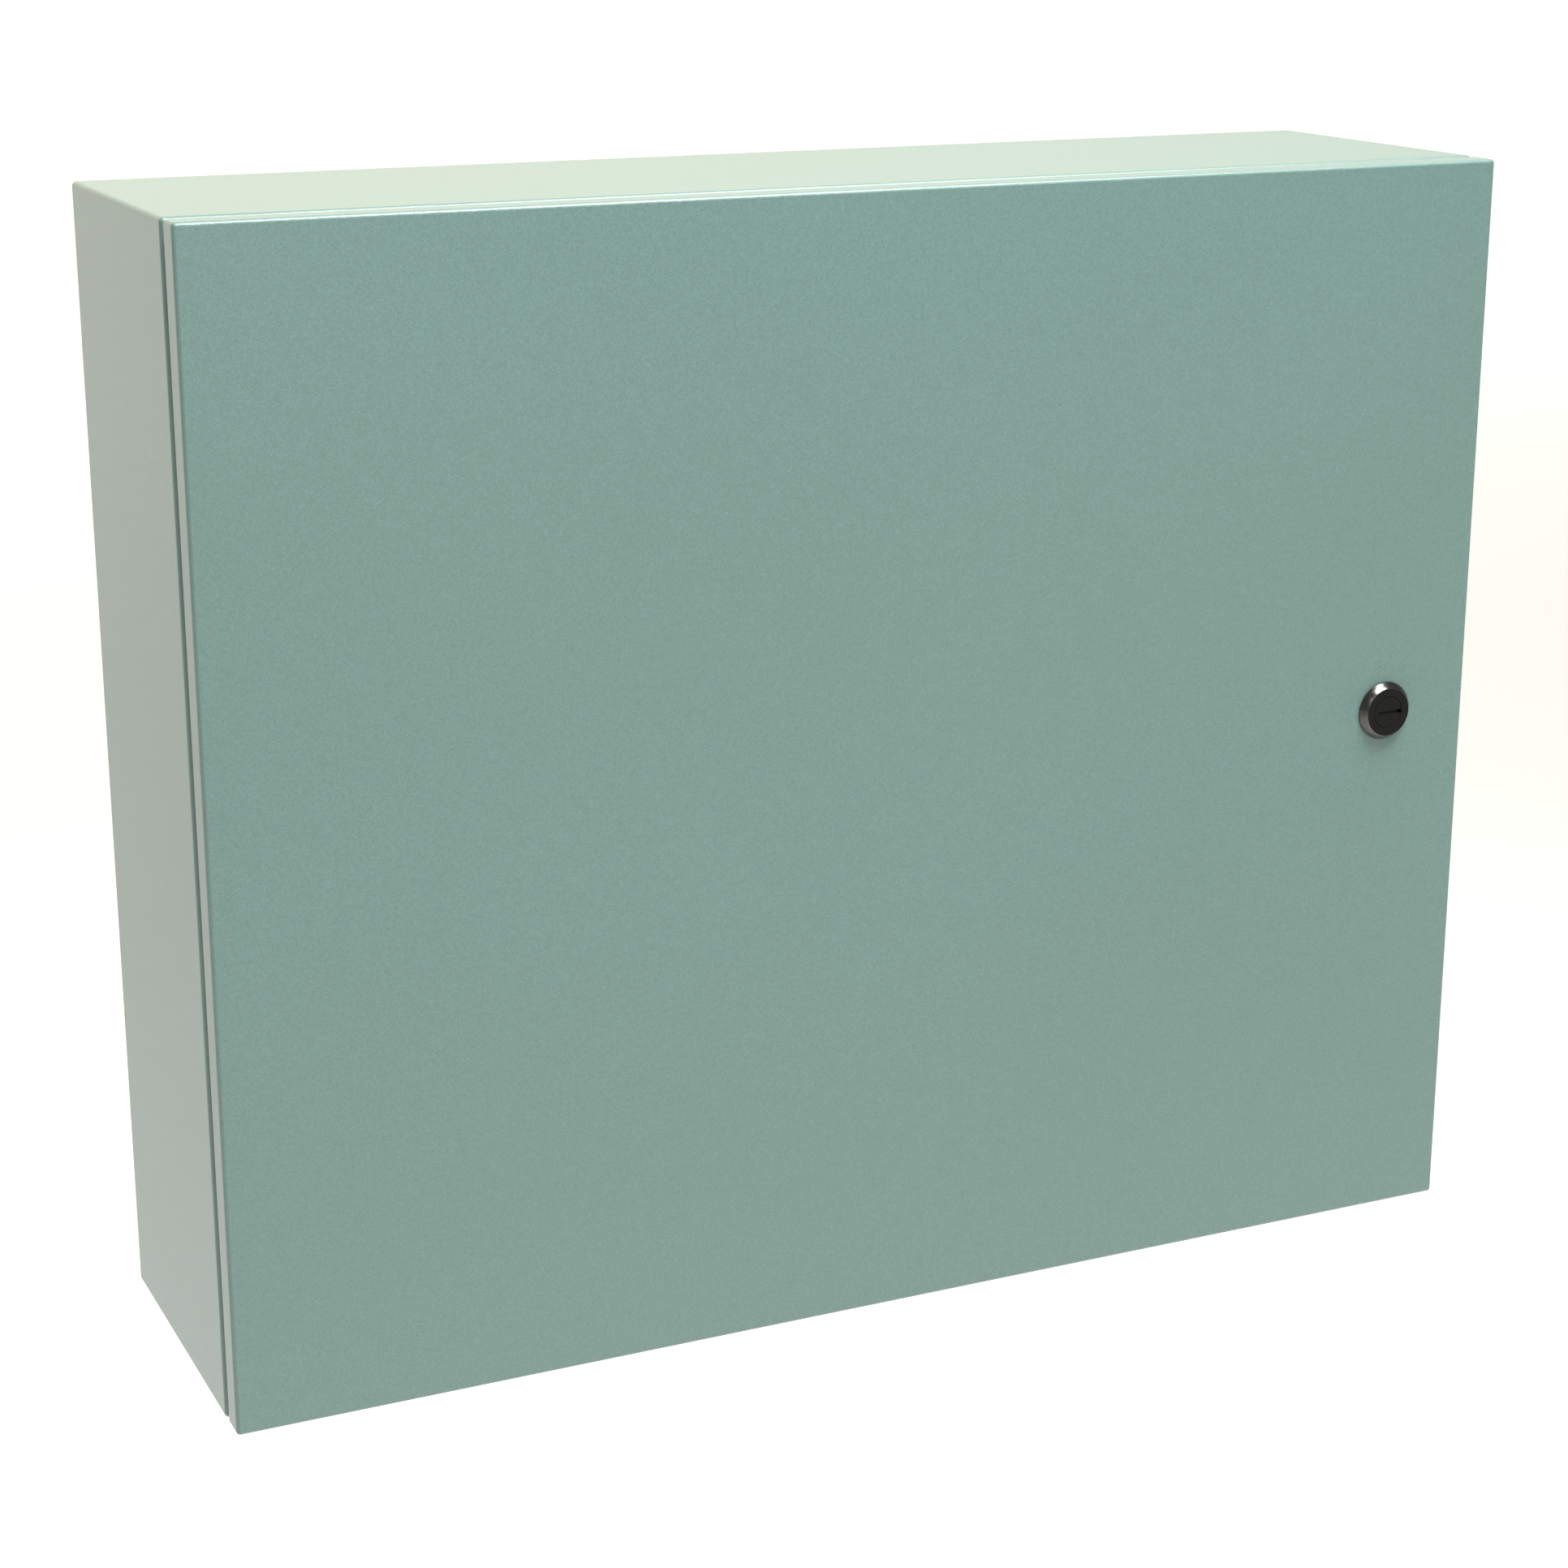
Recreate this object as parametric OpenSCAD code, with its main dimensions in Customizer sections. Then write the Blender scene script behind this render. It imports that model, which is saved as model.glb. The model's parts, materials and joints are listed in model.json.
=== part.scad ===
// Wall-mounted sheet-steel electrical enclosure with a hinged door, a mounting panel,
// a bottom gland plate and a quarter-turn latch. Millimetres.
// The origin is the centre of the back face, which lies on the wall: +X runs to the right
// as seen from the front, the door faces -Y, and +Z is up.

/* [Cabinet] */
// Overall width of the cabinet body
body_w = 600; // [480:1:900]
// Overall height of the cabinet body
body_h = 500; // [400:1:900]
// Depth of the body, from the wall to the front flange
body_d = 150; // [120:1:250]
// Sheet thickness of the body and the door
sheet_t = 1.5; // [1.2:0.1:2]
// Outside radius of the folded body edges
bend_r = 2; // [2:0.5:4]
// Width of the front flange, from the side to the sealing lip
flange_w = 26; // [25:1:36]
// Height of the sealing lip in front of the flange
lip_h = 10; // [8:0.5:12]
// Outside corner radius of the sealing lip
lip_corner_r = 6.5; // [4:0.5:12]
// Diameter of the wall fixing holes
wall_hole_d = 8.5; // [6:0.5:11]
// Clearance round a wall fixing hole for the screw head and its socket
wall_head_r = 8.5; // [7:0.5:12]

/* [Door] */
// Depth of the folded edge of the door
door_return = 12.5; // [10:0.5:18]
// Gap between the folded edge of the door and the front flange
door_gap = 5; // [4:0.5:8]
// How far the door edge stands in from the side of the body
door_inset = 0.2; // [0:0.1:1]
// Outside radius of the door edges
door_edge_r = 1.8; // [1.6:0.1:3]
// Width of the foam door gasket
gasket_w = 10; // [8:0.5:14]
// Free gap between the gasket and the sealing lip
gasket_gap = 0.3; // [0.2:0.1:1]
// Distance from the door edge to the middle of a stiffener rail
rail_inset = 85; // [75:1:120]
// Distance from the top and bottom of the door to the ends of a rail
rail_end = 50; // [40:1:80]
// Width of a stiffener rail
rail_w = 20; // [16:1:30]
// Depth of a stiffener rail
rail_d = 12; // [10:0.5:16]
// Distance between the holes in a rail
rail_pitch = 25; // [20:1:50]
// Diameter of the holes in a rail
rail_hole_d = 6; // [4:0.5:8]

/* [Hinges] */
// Distance from the middle of the door to the middle of each hinge
hinge_z = 165; // [120:1:170]
// Radius of a hinge knuckle
knuckle_r = 3.5; // [3:0.1:4.2]
// Height of the middle knuckle
knuckle_h = 20; // [14:1:30]
// Height of each outer knuckle
outer_knuckle_h = 9.7; // [8:0.1:15]
// Radius of a hinge pin
pin_r = 2; // [1.6:0.1:2.4]
// Running clearance round a hinge pin
pin_gap = 0.05; // [0.02:0.01:0.1]
// Height of each hinge leaf
leaf_h = 60; // [56:1:80]
// Thickness of the hinge leaf on the body
leaf_t = 2.5; // [2:0.1:3]
// Thickness of the hinge leaf on the door
door_leaf_t = 1.5; // [1.2:0.1:2]

/* [Latch] */
// Radius of the bezel at the door
bezel_r = 13.65; // [13:0.05:16]
// Radius of the bezel at its front edge
bezel_front_r = 11.9; // [11.5:0.1:12.5]
// Height of the bezel
bezel_h = 3.5; // [3:0.1:5]
// Radius of the barrel that passes through the door
barrel_r = 10; // [9:0.1:12]
// Radius of the turning insert
rotor_r = 7.35; // [6.5:0.05:8.8]
// Radius of the turning shaft
shaft_r = 5; // [4:0.1:6]
// Running clearance round the shaft
shaft_gap = 0.05; // [0.02:0.01:0.1]
// Wall of the latch nut at its flats
latch_nut_wall = 2; // [1.5:0.1:4]
// How far the cam reaches behind the flange when it is turned
cam_engage = 13; // [8:1:18]
// Width of the cam
cam_w = 14; // [12:1:18]
// Thickness of the cam
cam_t = 3; // [2:0.5:4]

/* [Mounting panel] */
// Gap between the back of the body and the mounting panel
panel_offset = 23.5; // [15:0.5:40]
// Thickness of the mounting panel
panel_t = 2; // [1.5:0.1:3]
// Distance from the panel edge to its stud holes
panel_stud_inset = 18; // [14:1:30]
// Radius of the threaded panel studs
panel_stud_r = 4; // [3:0.5:5]
// Radius of the collars that the panel rests on
panel_collar_r = 8; // [6:0.5:10]

/* [Gland plate] */
// Width of the cable entry opening in the bottom
gland_open_w = 250; // [150:1:380]
// Depth of the cable entry opening in the bottom
gland_open_d = 70; // [50:1:90]
// Distance from the opening to the fixing studs
gland_stud_out = 9; // [8:1:14]
// Width of the plate rim round the opening
gland_rim = 18; // [16:1:24]
// Thickness of the gland plate
gland_t = 2; // [1.5:0.1:3]
// Thickness of the gland plate gasket
gland_gasket_t = 2; // [1.5:0.5:3]
// Radius of the gland plate studs
gland_stud_r = 2.5; // [2:0.5:3]

/* [Fasteners] */
// Radial gap that stands for engaged threads
thread_gap = 0.05; // [0.03:0.01:0.1]
// Radial clearance of a hole round its fastener
hole_gap = 0.4; // [0.2:0.1:1]
// Radius of the hinge screws and hinge studs
hinge_screw_r = 2; // [1.5:0.1:2.4]
// Radius of the earthing studs
earth_stud_r = 4; // [3:0.5:5]

/* [Hidden] */

// Colours
paint = [0.51, 0.62, 0.58];
galvanised = [0.70, 0.72, 0.73];
zinc = [0.78, 0.78, 0.74];
foam = [0.16, 0.16, 0.17];
dark_chrome = [0.28, 0.27, 0.26];
black = [0.10, 0.10, 0.10];

arc_steps = 6;
over = 1; // how far a cutting shape runs past the face it cuts
$fn = 64;

// Planes across the depth, from the wall to the front
back_in = -sheet_t;
flange_rear = -body_d + sheet_t;
flange_front = -body_d;
lip_front = flange_front - lip_h;
door_rear = flange_front - door_gap;
door_front = door_rear - door_return;
door_in = door_front + sheet_t;

// Outlines of the flange, the lip, the gasket and the door
lip_w = body_w - 2 * flange_w;
lip_hh = body_h - 2 * flange_w;
mouth_w = lip_w - 2 * sheet_t;
mouth_h = lip_hh - 2 * sheet_t;
door_w = body_w - 2 * door_inset;
door_h = body_h - 2 * door_inset;

// Wall holes, just inside the mouth so that a socket reaches them
wall_x = mouth_w / 2 - wall_head_r;
wall_z = mouth_h / 2 - wall_head_r;

// Nuts, given by the distance across their flats and their height
stud_nut_af = 13; // panel studs and earthing studs
stud_nut_h = 6.5;
gland_nut_af = 8;
gland_nut_h = 4;
hinge_nut_af = 7;
hinge_nut_h = 3.2;
washer_t = 1.6;
washer_gap = 0.2;
thread_end = 3; // thread that shows past a nut

// Mounting panel, kept clear of the wall screw heads
panel_edge_gap = 1.5; // between a wall screw head and the panel
panel_corner_r = 4;
panel_w = 2 * (wall_x - wall_head_r - panel_edge_gap);
panel_h = 2 * (wall_z - wall_head_r - panel_edge_gap);
panel_rear = back_in - panel_offset;
panel_front = panel_rear - panel_t;
panel_stud_x = panel_w / 2 - panel_stud_inset;
panel_stud_z = panel_h / 2 - panel_stud_inset;

// Gland plate, on the inside of the bottom
floor_z = -body_h / 2 + sheet_t;
gland_y = -body_d / 2;
gland_plate_w = gland_open_w + 2 * gland_rim;
gland_plate_d = gland_open_d + 2 * gland_rim;
gland_plate_z = floor_z + gland_gasket_t;
gland_stud_x = gland_open_w / 2 + gland_stud_out;
gland_stud_y = gland_open_d / 2 + gland_stud_out;
gland_stud_places = [
    for (side = [-1, 1])
        for (place = [-1, 0, 1])
            [place * gland_stud_x, gland_y + side * gland_stud_y]
];

// Earthing studs
earth_side = 40; // body stud, from the side of the body
earth_back = 40; // body stud, from the wall
earth_len = 20;
door_earth_side = 50; // door stud, from the side of the body
door_earth_low = 45; // door stud, from the bottom of the door
door_earth_len = 11;

// Hinges
knuckle_gap = 0.3; // between knuckles, and between a knuckle and the door edge
leaf_gap = 1; // between a knuckle and the door leaf
axis_x = -door_w / 2 + sheet_t + knuckle_gap + knuckle_r;
axis_y = door_in + door_leaf_t + leaf_gap + knuckle_r;
block_out = knuckle_r - 0.3; // reach of the door knuckle block outside the axis
block_in = 1.5; // and inside the axis
base_gap = 1; // between the hinge leaf base and the lip
base_w = 9;
base_t = 2;
base_right = -lip_w / 2 - base_gap;
base_x = base_right - base_w;
leg_inset = 6; // from the inner edge of the base to the leg that stands on it
leg_right = base_right - leg_inset;
screw_x = base_right - base_w / 2;
screw_z = 22; // hinge screws, from the middle of the hinge
screw_head_r = 3.5;
screw_head_h = 2.6;
door_leaf_w = leg_right - (axis_x - block_out);
door_stud_x = axis_x + knuckle_r + 3;
door_stud_z = 25; // door leaf studs, from the middle of the hinge
door_stud_len = 8;
pin_head_r = pin_r + 1.2;
pin_head_h = 1.5;
pin_head_gap = 0.1;
pin_tail = 1; // pin length below the lowest knuckle
pin_top = knuckle_h / 2 + knuckle_gap + outer_knuckle_h;

// Latch, set close beside the gasket
nut_gap = 0.75; // between the latch nut and the gasket
latch_nut_af = 2 * (barrel_r + latch_nut_wall);
latch_x = lip_w / 2 - sheet_t / 2 - gasket_w / 2 - nut_gap - latch_nut_af / 2;
seal_t = 0.5;
seal_r = bezel_r - 0.25;
bezel_rear = door_front - seal_t;
bezel_front = bezel_rear - bezel_h;
bezel_land = 0.8; // straight edge at the foot of the bezel
latch_nut_h = 6;
cam_clear = 1.6; // between the cam and the rear of the flange
cam_front = flange_rear + cam_clear;
cam_rear = cam_front + cam_t;
cam_len = mouth_w / 2 - latch_x + cam_engage;
cam_boss_r = cam_w / 2 + 2;
barrel_gap = 1; // between the barrel and the cam
barrel_rear = cam_front - barrel_gap;
door_hole_gap = 0.15; // between the barrel and the door
pocket_gap = 0.15; // round the turning insert
pocket_depth = 3;
pocket_floor = bezel_front + pocket_depth;
ring_t = 1;
ring_r = bezel_front_r - 0.9;
rotor_set = 0.1; // how far the turning insert stands clear of the face and the floor
rotor_front = bezel_front + rotor_set;
rotor_rear = pocket_floor - rotor_set;
slot_w = 2.2;
slot_depth = 1.6;
square_w = 1.4 * shaft_r; // square end of the shaft, which drives the cam
square_gap = 0.1;
bolt_r = 2.5;
bolt_len = 8;
bolt_head_af = 8;
bolt_head_h = 3.5;
shaft_back = 0.3; // how far the square end stops short of the rear of the cam
cam_washer_t = 1;
cam_washer_r = 6;

// Points of a quarter circle from the angle start, counter-clockwise
function quarter(cx, cy, r, start) = [
    for (i = [0 : arc_steps])
        [cx + r * cos(start + 90 * i / arc_steps), cy + r * sin(start + 90 * i / arc_steps)]
];

// Outline of a rectangle with four rounded corners, centred on the origin
function rounded_outline(w, h, r) = concat(
    quarter(w / 2 - r, h / 2 - r, r, 0),
    quarter(r - w / 2, h / 2 - r, r, 90),
    quarter(r - w / 2, r - h / 2, r, 180),
    quarter(w / 2 - r, r - h / 2, r, 270)
);

// Upright slab with rounded corners, from y_rear forwards to y_front
module slab(w, h, r, y_rear, y_front) {
    translate([0, y_rear, 0])
        rotate([90, 0, 0])
            linear_extrude(y_rear - y_front)
                polygon(rounded_outline(w, h, r));
}

// Box with all its edges rounded, from y_rear forwards to y_front
module rounded_box(w, h, r, y_rear, y_front) {
    depth = y_rear - y_front;
    middle = (y_rear + y_front) / 2;
    intersection() {
        slab(w, h, r, y_rear, y_front);
        translate([0, middle, -h / 2])
            linear_extrude(h)
                polygon(rounded_outline(w, depth, r));
        translate([-w / 2, middle, 0])
            rotate([90, 0, 90])
                linear_extrude(w)
                    polygon(rounded_outline(depth, h, r));
    }
}

// Round rod that runs forwards (-Y) from the point given
module rod_forward(x, y, z, r, length) {
    translate([x, y, z])
        rotate([90, 0, 0])
            cylinder(r = r, h = length);
}

// Hexagon that runs forwards from the point given; turn = 30 puts its flats to the sides
module hex_forward(x, y, z, across_flats, length, turn = 0) {
    translate([x, y, z])
        rotate([90, 0, 0])
            rotate([0, 0, turn])
                cylinder(r = across_flats / 2 / cos(30), h = length, $fn = 6);
}

// Flat ring whose rear face is at y
module ring_forward(x, y, z, r_out, r_in, length) {
    difference() {
        rod_forward(x, y, z, r_out, length);
        rod_forward(x, y + over, z, r_in, length + 2 * over);
    }
}

// Hexagon nut whose rear face is at y, on a thread of radius r
module nut_forward(x, y, z, across_flats, r, length, turn = 0) {
    difference() {
        hex_forward(x, y, z, across_flats, length, turn);
        rod_forward(x, y + over, z, r + thread_gap, length + 2 * over);
    }
}

// Hexagon nut that stands upright on the plane z = 0, on a thread of radius r
module nut_up(across_flats, r, length) {
    difference() {
        cylinder(r = across_flats / 2 / cos(30), h = length, $fn = 6);
        translate([0, 0, -over])
            cylinder(r = r + thread_gap, h = length + 2 * over);
    }
}

// Children at the four corners of a rectangle in the plane of the back
module at_corners(x, z) {
    for (side = [-1, 1])
        for (level = [-1, 1])
            translate([side * x, 0, level * z])
                children();
}

// Children at both hinges
module at_hinges() {
    for (level = [-1, 1])
        translate([0, 0, level * hinge_z])
            children();
}

// Children at the two screws of a hinge, in the plane given
module at_hinge_screws(y) {
    for (end = [-1, 1])
        translate([screw_x, y, end * screw_z])
            children();
}

// Children at the two studs that hold a hinge leaf to the door, in the plane given
module at_door_studs(y) {
    for (end = [-1, 1])
        translate([door_stud_x, y, end * door_stud_z])
            children();
}

// Body: a closed tray with a front flange, and a sealing lip round its mouth
module body_shell() {
    inside_w = body_w - 2 * sheet_t;
    inside_h = body_h - 2 * sheet_t;
    color(paint)
    difference() {
        union() {
            difference() {
                rounded_box(body_w, body_h, bend_r, 0, flange_front);
                rounded_box(inside_w, inside_h, bend_r - sheet_t, back_in, flange_rear);
                slab(mouth_w, mouth_h, lip_corner_r - sheet_t, flange_rear + over, flange_front - over);
            }
            difference() {
                slab(lip_w, lip_hh, lip_corner_r, flange_rear, lip_front);
                slab(mouth_w, mouth_h, lip_corner_r - sheet_t, flange_rear + over, lip_front - over);
            }
        }
        at_corners(wall_x, wall_z)
            rod_forward(0, over, 0, wall_hole_d / 2, sheet_t + 2 * over);
        translate([-gland_open_w / 2, gland_y - gland_open_d / 2, floor_z - sheet_t - over])
            cube([gland_open_w, gland_open_d, sheet_t + 2 * over]);
        at_hinges()
            at_hinge_screws(flange_rear + over)
                rod_forward(0, 0, 0, hinge_screw_r + hole_gap, sheet_t + 2 * over);
    }
}

module mounting_panel() {
    color(galvanised)
    difference() {
        slab(panel_w, panel_h, panel_corner_r, panel_rear, panel_front);
        at_corners(panel_stud_x, panel_stud_z)
            rod_forward(0, panel_rear + over, 0, panel_stud_r + hole_gap, panel_t + 2 * over);
    }
}

module panel_studs() {
    thread = panel_t + washer_t + stud_nut_h + thread_end;
    color(zinc)
    at_corners(panel_stud_x, panel_stud_z)
        union() {
            rod_forward(0, back_in, 0, panel_collar_r, panel_offset);
            rod_forward(0, panel_rear + over, 0, panel_stud_r, thread + over);
        }
}

module panel_washers() {
    color(zinc)
    at_corners(panel_stud_x, panel_stud_z)
        ring_forward(0, panel_front, 0, 2 * panel_stud_r, panel_stud_r + washer_gap, washer_t);
}

module panel_nuts() {
    color(zinc)
    at_corners(panel_stud_x, panel_stud_z)
        nut_forward(0, panel_front - washer_t, 0, stud_nut_af, panel_stud_r, stud_nut_h);
}

module gland_plate() {
    color(galvanised)
    difference() {
        translate([-gland_plate_w / 2, gland_y - gland_plate_d / 2, gland_plate_z])
            cube([gland_plate_w, gland_plate_d, gland_t]);
        for (place = gland_stud_places)
            translate([place[0], place[1], gland_plate_z - over])
                cylinder(r = gland_stud_r + hole_gap, h = gland_t + 2 * over);
    }
}

module gland_gasket() {
    color(foam)
    difference() {
        translate([-gland_plate_w / 2, gland_y - gland_plate_d / 2, floor_z])
            cube([gland_plate_w, gland_plate_d, gland_gasket_t]);
        translate([-gland_open_w / 2, gland_y - gland_open_d / 2, floor_z - over])
            cube([gland_open_w, gland_open_d, gland_gasket_t + 2 * over]);
        for (place = gland_stud_places)
            translate([place[0], place[1], floor_z - over])
                cylinder(r = gland_stud_r + hole_gap, h = gland_gasket_t + 2 * over);
    }
}

module gland_studs() {
    color(zinc)
    for (place = gland_stud_places)
        translate([place[0], place[1], floor_z])
            cylinder(r = gland_stud_r, h = gland_gasket_t + gland_t + gland_nut_h + thread_end);
}

module gland_nuts() {
    color(zinc)
    for (place = gland_stud_places)
        translate([place[0], place[1], gland_plate_z + gland_t])
            nut_up(gland_nut_af, gland_stud_r, gland_nut_h);
}

// Place of the body's earthing stud, on the floor beside the hinge side
module at_body_earth(height) {
    translate([-body_w / 2 + earth_side, -earth_back, floor_z + height])
        children();
}

module body_earth_stud() {
    color(zinc)
    at_body_earth(0)
        cylinder(r = earth_stud_r, h = earth_len);
}

module body_earth_washer() {
    color(zinc)
    at_body_earth(0)
        difference() {
            cylinder(r = 2 * earth_stud_r, h = washer_t);
            translate([0, 0, -over])
                cylinder(r = earth_stud_r + washer_gap, h = washer_t + 2 * over);
        }
}

module body_earth_nut() {
    color(zinc)
    at_body_earth(washer_t)
        nut_up(stud_nut_af, earth_stud_r, stud_nut_h);
}

// Hinge leaf on the body: a base on the flange, and a cranked arm that holds the middle knuckle
module hinge_body_leaf(level) {
    color(zinc)
    translate([0, 0, level * hinge_z])
        difference() {
            union() {
                translate([axis_x, axis_y, -knuckle_h / 2])
                    cylinder(r = knuckle_r, h = knuckle_h);
                translate([axis_x, axis_y - leaf_t, -knuckle_h / 2])
                    cube([leg_right - axis_x, leaf_t, knuckle_h]);
                translate([leg_right - leaf_t, axis_y - leaf_t, -knuckle_h / 2])
                    cube([leaf_t, flange_front - axis_y + leaf_t, knuckle_h]);
                translate([base_x, flange_front - base_t, -leaf_h / 2])
                    cube([base_w, base_t, leaf_h]);
            }
            translate([axis_x, axis_y, -knuckle_h / 2 - over])
                cylinder(r = pin_r + pin_gap, h = knuckle_h + 2 * over);
            at_hinge_screws(flange_front + over)
                rod_forward(0, 0, 0, hinge_screw_r + hole_gap, base_t + 2 * over);
        }
}

module upper_hinge_body_leaf() {
    hinge_body_leaf(1);
}

module lower_hinge_body_leaf() {
    hinge_body_leaf(-1);
}

module hinge_screws() {
    behind = hinge_nut_h + thread_end;
    grip = sheet_t + base_t;
    color(zinc)
    at_hinges()
        at_hinge_screws(flange_front - base_t)
            union() {
                rod_forward(0, grip + behind, 0, hinge_screw_r, grip + behind + over);
                rod_forward(0, 0, 0, screw_head_r, screw_head_h);
            }
}

module hinge_screw_nuts() {
    color(zinc)
    at_hinges()
        at_hinge_screws(flange_rear + hinge_nut_h)
            nut_forward(0, 0, 0, hinge_nut_af, hinge_screw_r, hinge_nut_h);
}

// Door: a tray with rounded front edges, cut square at its rear
module door_panel() {
    behind = door_rear + 2 * door_edge_r;
    inside_w = door_w - 2 * sheet_t;
    inside_h = door_h - 2 * sheet_t;
    color(paint)
    difference() {
        rounded_box(door_w, door_h, door_edge_r, behind, door_front);
        slab(inside_w, inside_h, door_edge_r - sheet_t / 2, behind + over, door_in);
        translate([-door_w / 2 - over, door_rear, -door_h / 2 - over])
            cube([door_w + 2 * over, behind - door_rear + over, door_h + 2 * over]);
        rod_forward(latch_x, door_in + over, 0, barrel_r + door_hole_gap, sheet_t + 2 * over);
    }
}

module door_gasket() {
    middle_w = lip_w - sheet_t;
    middle_h = lip_hh - sheet_t;
    middle_r = lip_corner_r - sheet_t / 2;
    inside_r = 0.75;
    top = lip_front - gasket_gap;
    color(foam)
    difference() {
        slab(middle_w + gasket_w, middle_h + gasket_w, middle_r + gasket_w / 2, top, door_in);
        slab(middle_w - gasket_w, middle_h - gasket_w, inside_r, top + over, door_in - over);
    }
}

// Stiffener rail: an open channel whose two legs stand on the door, with a row of holes
module door_rail(side) {
    rail_len = door_h - 2 * rail_end;
    steps = floor((rail_len / 2 - rail_hole_d) / rail_pitch);
    color(galvanised)
    translate([side * (door_w / 2 - rail_inset), 0, 0])
        difference() {
            translate([-rail_w / 2, door_in, -rail_len / 2])
                cube([rail_w, rail_d, rail_len]);
            translate([-rail_w / 2 + sheet_t, door_in - over, -rail_len / 2 - over])
                cube([rail_w - 2 * sheet_t, rail_d - sheet_t + over, rail_len + 2 * over]);
            for (step = [-steps : steps])
                translate([0, door_in + rail_d + over, step * rail_pitch])
                    rod_forward(0, 0, 0, rail_hole_d / 2, sheet_t + 2 * over);
        }
}

module left_door_rail() {
    door_rail(-1);
}

module right_door_rail() {
    door_rail(1);
}

// Hinge leaf on the door: a plate on the skin, and two blocks that hold the outer knuckles
module hinge_door_leaf(level) {
    color(zinc)
    translate([0, 0, level * hinge_z])
        difference() {
            union() {
                translate([axis_x - block_out, door_in, -leaf_h / 2])
                    cube([door_leaf_w, door_leaf_t, leaf_h]);
                for (low = [knuckle_h / 2 + knuckle_gap, -pin_top]) {
                    translate([axis_x, axis_y, low])
                        cylinder(r = knuckle_r, h = outer_knuckle_h);
                    translate([axis_x - block_out, door_in, low])
                        cube([block_out + block_in, axis_y - door_in, outer_knuckle_h]);
                }
            }
            translate([axis_x, axis_y, -pin_top - over])
                cylinder(r = pin_r + pin_gap, h = 2 * pin_top + 2 * over);
            at_door_studs(door_in + door_leaf_t + over)
                rod_forward(0, 0, 0, hinge_screw_r + hole_gap, door_leaf_t + 2 * over);
        }
}

module upper_hinge_door_leaf() {
    hinge_door_leaf(1);
}

module lower_hinge_door_leaf() {
    hinge_door_leaf(-1);
}

module hinge_door_studs() {
    color(zinc)
    at_hinges()
        at_door_studs(door_in + door_stud_len)
            rod_forward(0, 0, 0, hinge_screw_r, door_stud_len);
}

module hinge_door_nuts() {
    color(zinc)
    at_hinges()
        at_door_studs(door_in + door_leaf_t + hinge_nut_h)
            nut_forward(0, 0, 0, hinge_nut_af, hinge_screw_r, hinge_nut_h);
}

// Place of the door's earthing stud, low on the hinge side
module at_door_earth() {
    translate([-body_w / 2 + door_earth_side, 0, -door_h / 2 + door_earth_low])
        children();
}

module door_earth_stud() {
    color(zinc)
    at_door_earth()
        rod_forward(0, door_in + door_earth_len, 0, earth_stud_r, door_earth_len);
}

module door_earth_washer() {
    color(zinc)
    at_door_earth()
        ring_forward(0, door_in + washer_t, 0, 2 * earth_stud_r, earth_stud_r + washer_gap, washer_t);
}

module door_earth_nut() {
    color(zinc)
    at_door_earth()
        nut_forward(0, door_in + washer_t + stud_nut_h, 0, stud_nut_af, earth_stud_r, stud_nut_h);
}

// Housing of the latch: a conical bezel outside, and a barrel that the shaft turns in
module latch_housing() {
    bore_len = barrel_rear - pocket_floor + 2 * over;
    color(dark_chrome)
    difference() {
        union() {
            rod_forward(latch_x, bezel_rear, 0, bezel_r, bezel_land);
            translate([latch_x, bezel_rear - bezel_land, 0])
                rotate([90, 0, 0])
                    cylinder(r1 = bezel_r, r2 = bezel_front_r, h = bezel_h - bezel_land);
            rod_forward(latch_x, barrel_rear, 0, barrel_r, barrel_rear - bezel_rear + bezel_land);
        }
        rod_forward(latch_x, bezel_front + ring_t, 0, ring_r, ring_t + over);
        rod_forward(latch_x, pocket_floor, 0, rotor_r + pocket_gap, pocket_floor - bezel_front + over);
        rod_forward(latch_x, barrel_rear + over, 0, shaft_r + shaft_gap, bore_len);
    }
}

module latch_face_ring() {
    color(black)
    ring_forward(latch_x, bezel_front + ring_t, 0, ring_r, rotor_r + pocket_gap, ring_t);
}

module latch_seal() {
    color(foam)
    ring_forward(latch_x, door_front, 0, seal_r, barrel_r + door_hole_gap, seal_t);
}

module latch_nut() {
    color(zinc)
    nut_forward(latch_x, door_in + latch_nut_h, 0, latch_nut_af, barrel_r, latch_nut_h, 30);
}

// Turning insert: slotted head, round shaft, and a square end with a threaded hole
module latch_rotor() {
    square_rear = cam_rear - shaft_back;
    color(black)
    difference() {
        union() {
            rod_forward(latch_x, rotor_rear, 0, rotor_r, rotor_rear - rotor_front);
            rod_forward(latch_x, cam_front, 0, shaft_r, cam_front - rotor_rear + over);
            translate([latch_x - square_w / 2, cam_front - over, -square_w / 2])
                cube([square_w, square_rear - cam_front + over, square_w]);
        }
        translate([latch_x - rotor_r - over, rotor_front - over, -slot_w / 2])
            cube([2 * rotor_r + 2 * over, slot_depth + over, slot_w]);
        rod_forward(latch_x, square_rear + over, 0, bolt_r + thread_gap, bolt_len + 2 * over);
    }
}

module latch_cam() {
    hole = square_w + 2 * square_gap;
    color(zinc)
    difference() {
        union() {
            rod_forward(latch_x, cam_rear, 0, cam_boss_r, cam_t);
            translate([latch_x - cam_w / 2, cam_front, 0])
                cube([cam_w, cam_t, cam_len]);
        }
        translate([latch_x - hole / 2, cam_front - over, -hole / 2])
            cube([hole, cam_t + 2 * over, hole]);
    }
}

module latch_cam_washer() {
    color(zinc)
    ring_forward(latch_x, cam_rear + cam_washer_t, 0, cam_washer_r, bolt_r + washer_gap, cam_washer_t);
}

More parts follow.
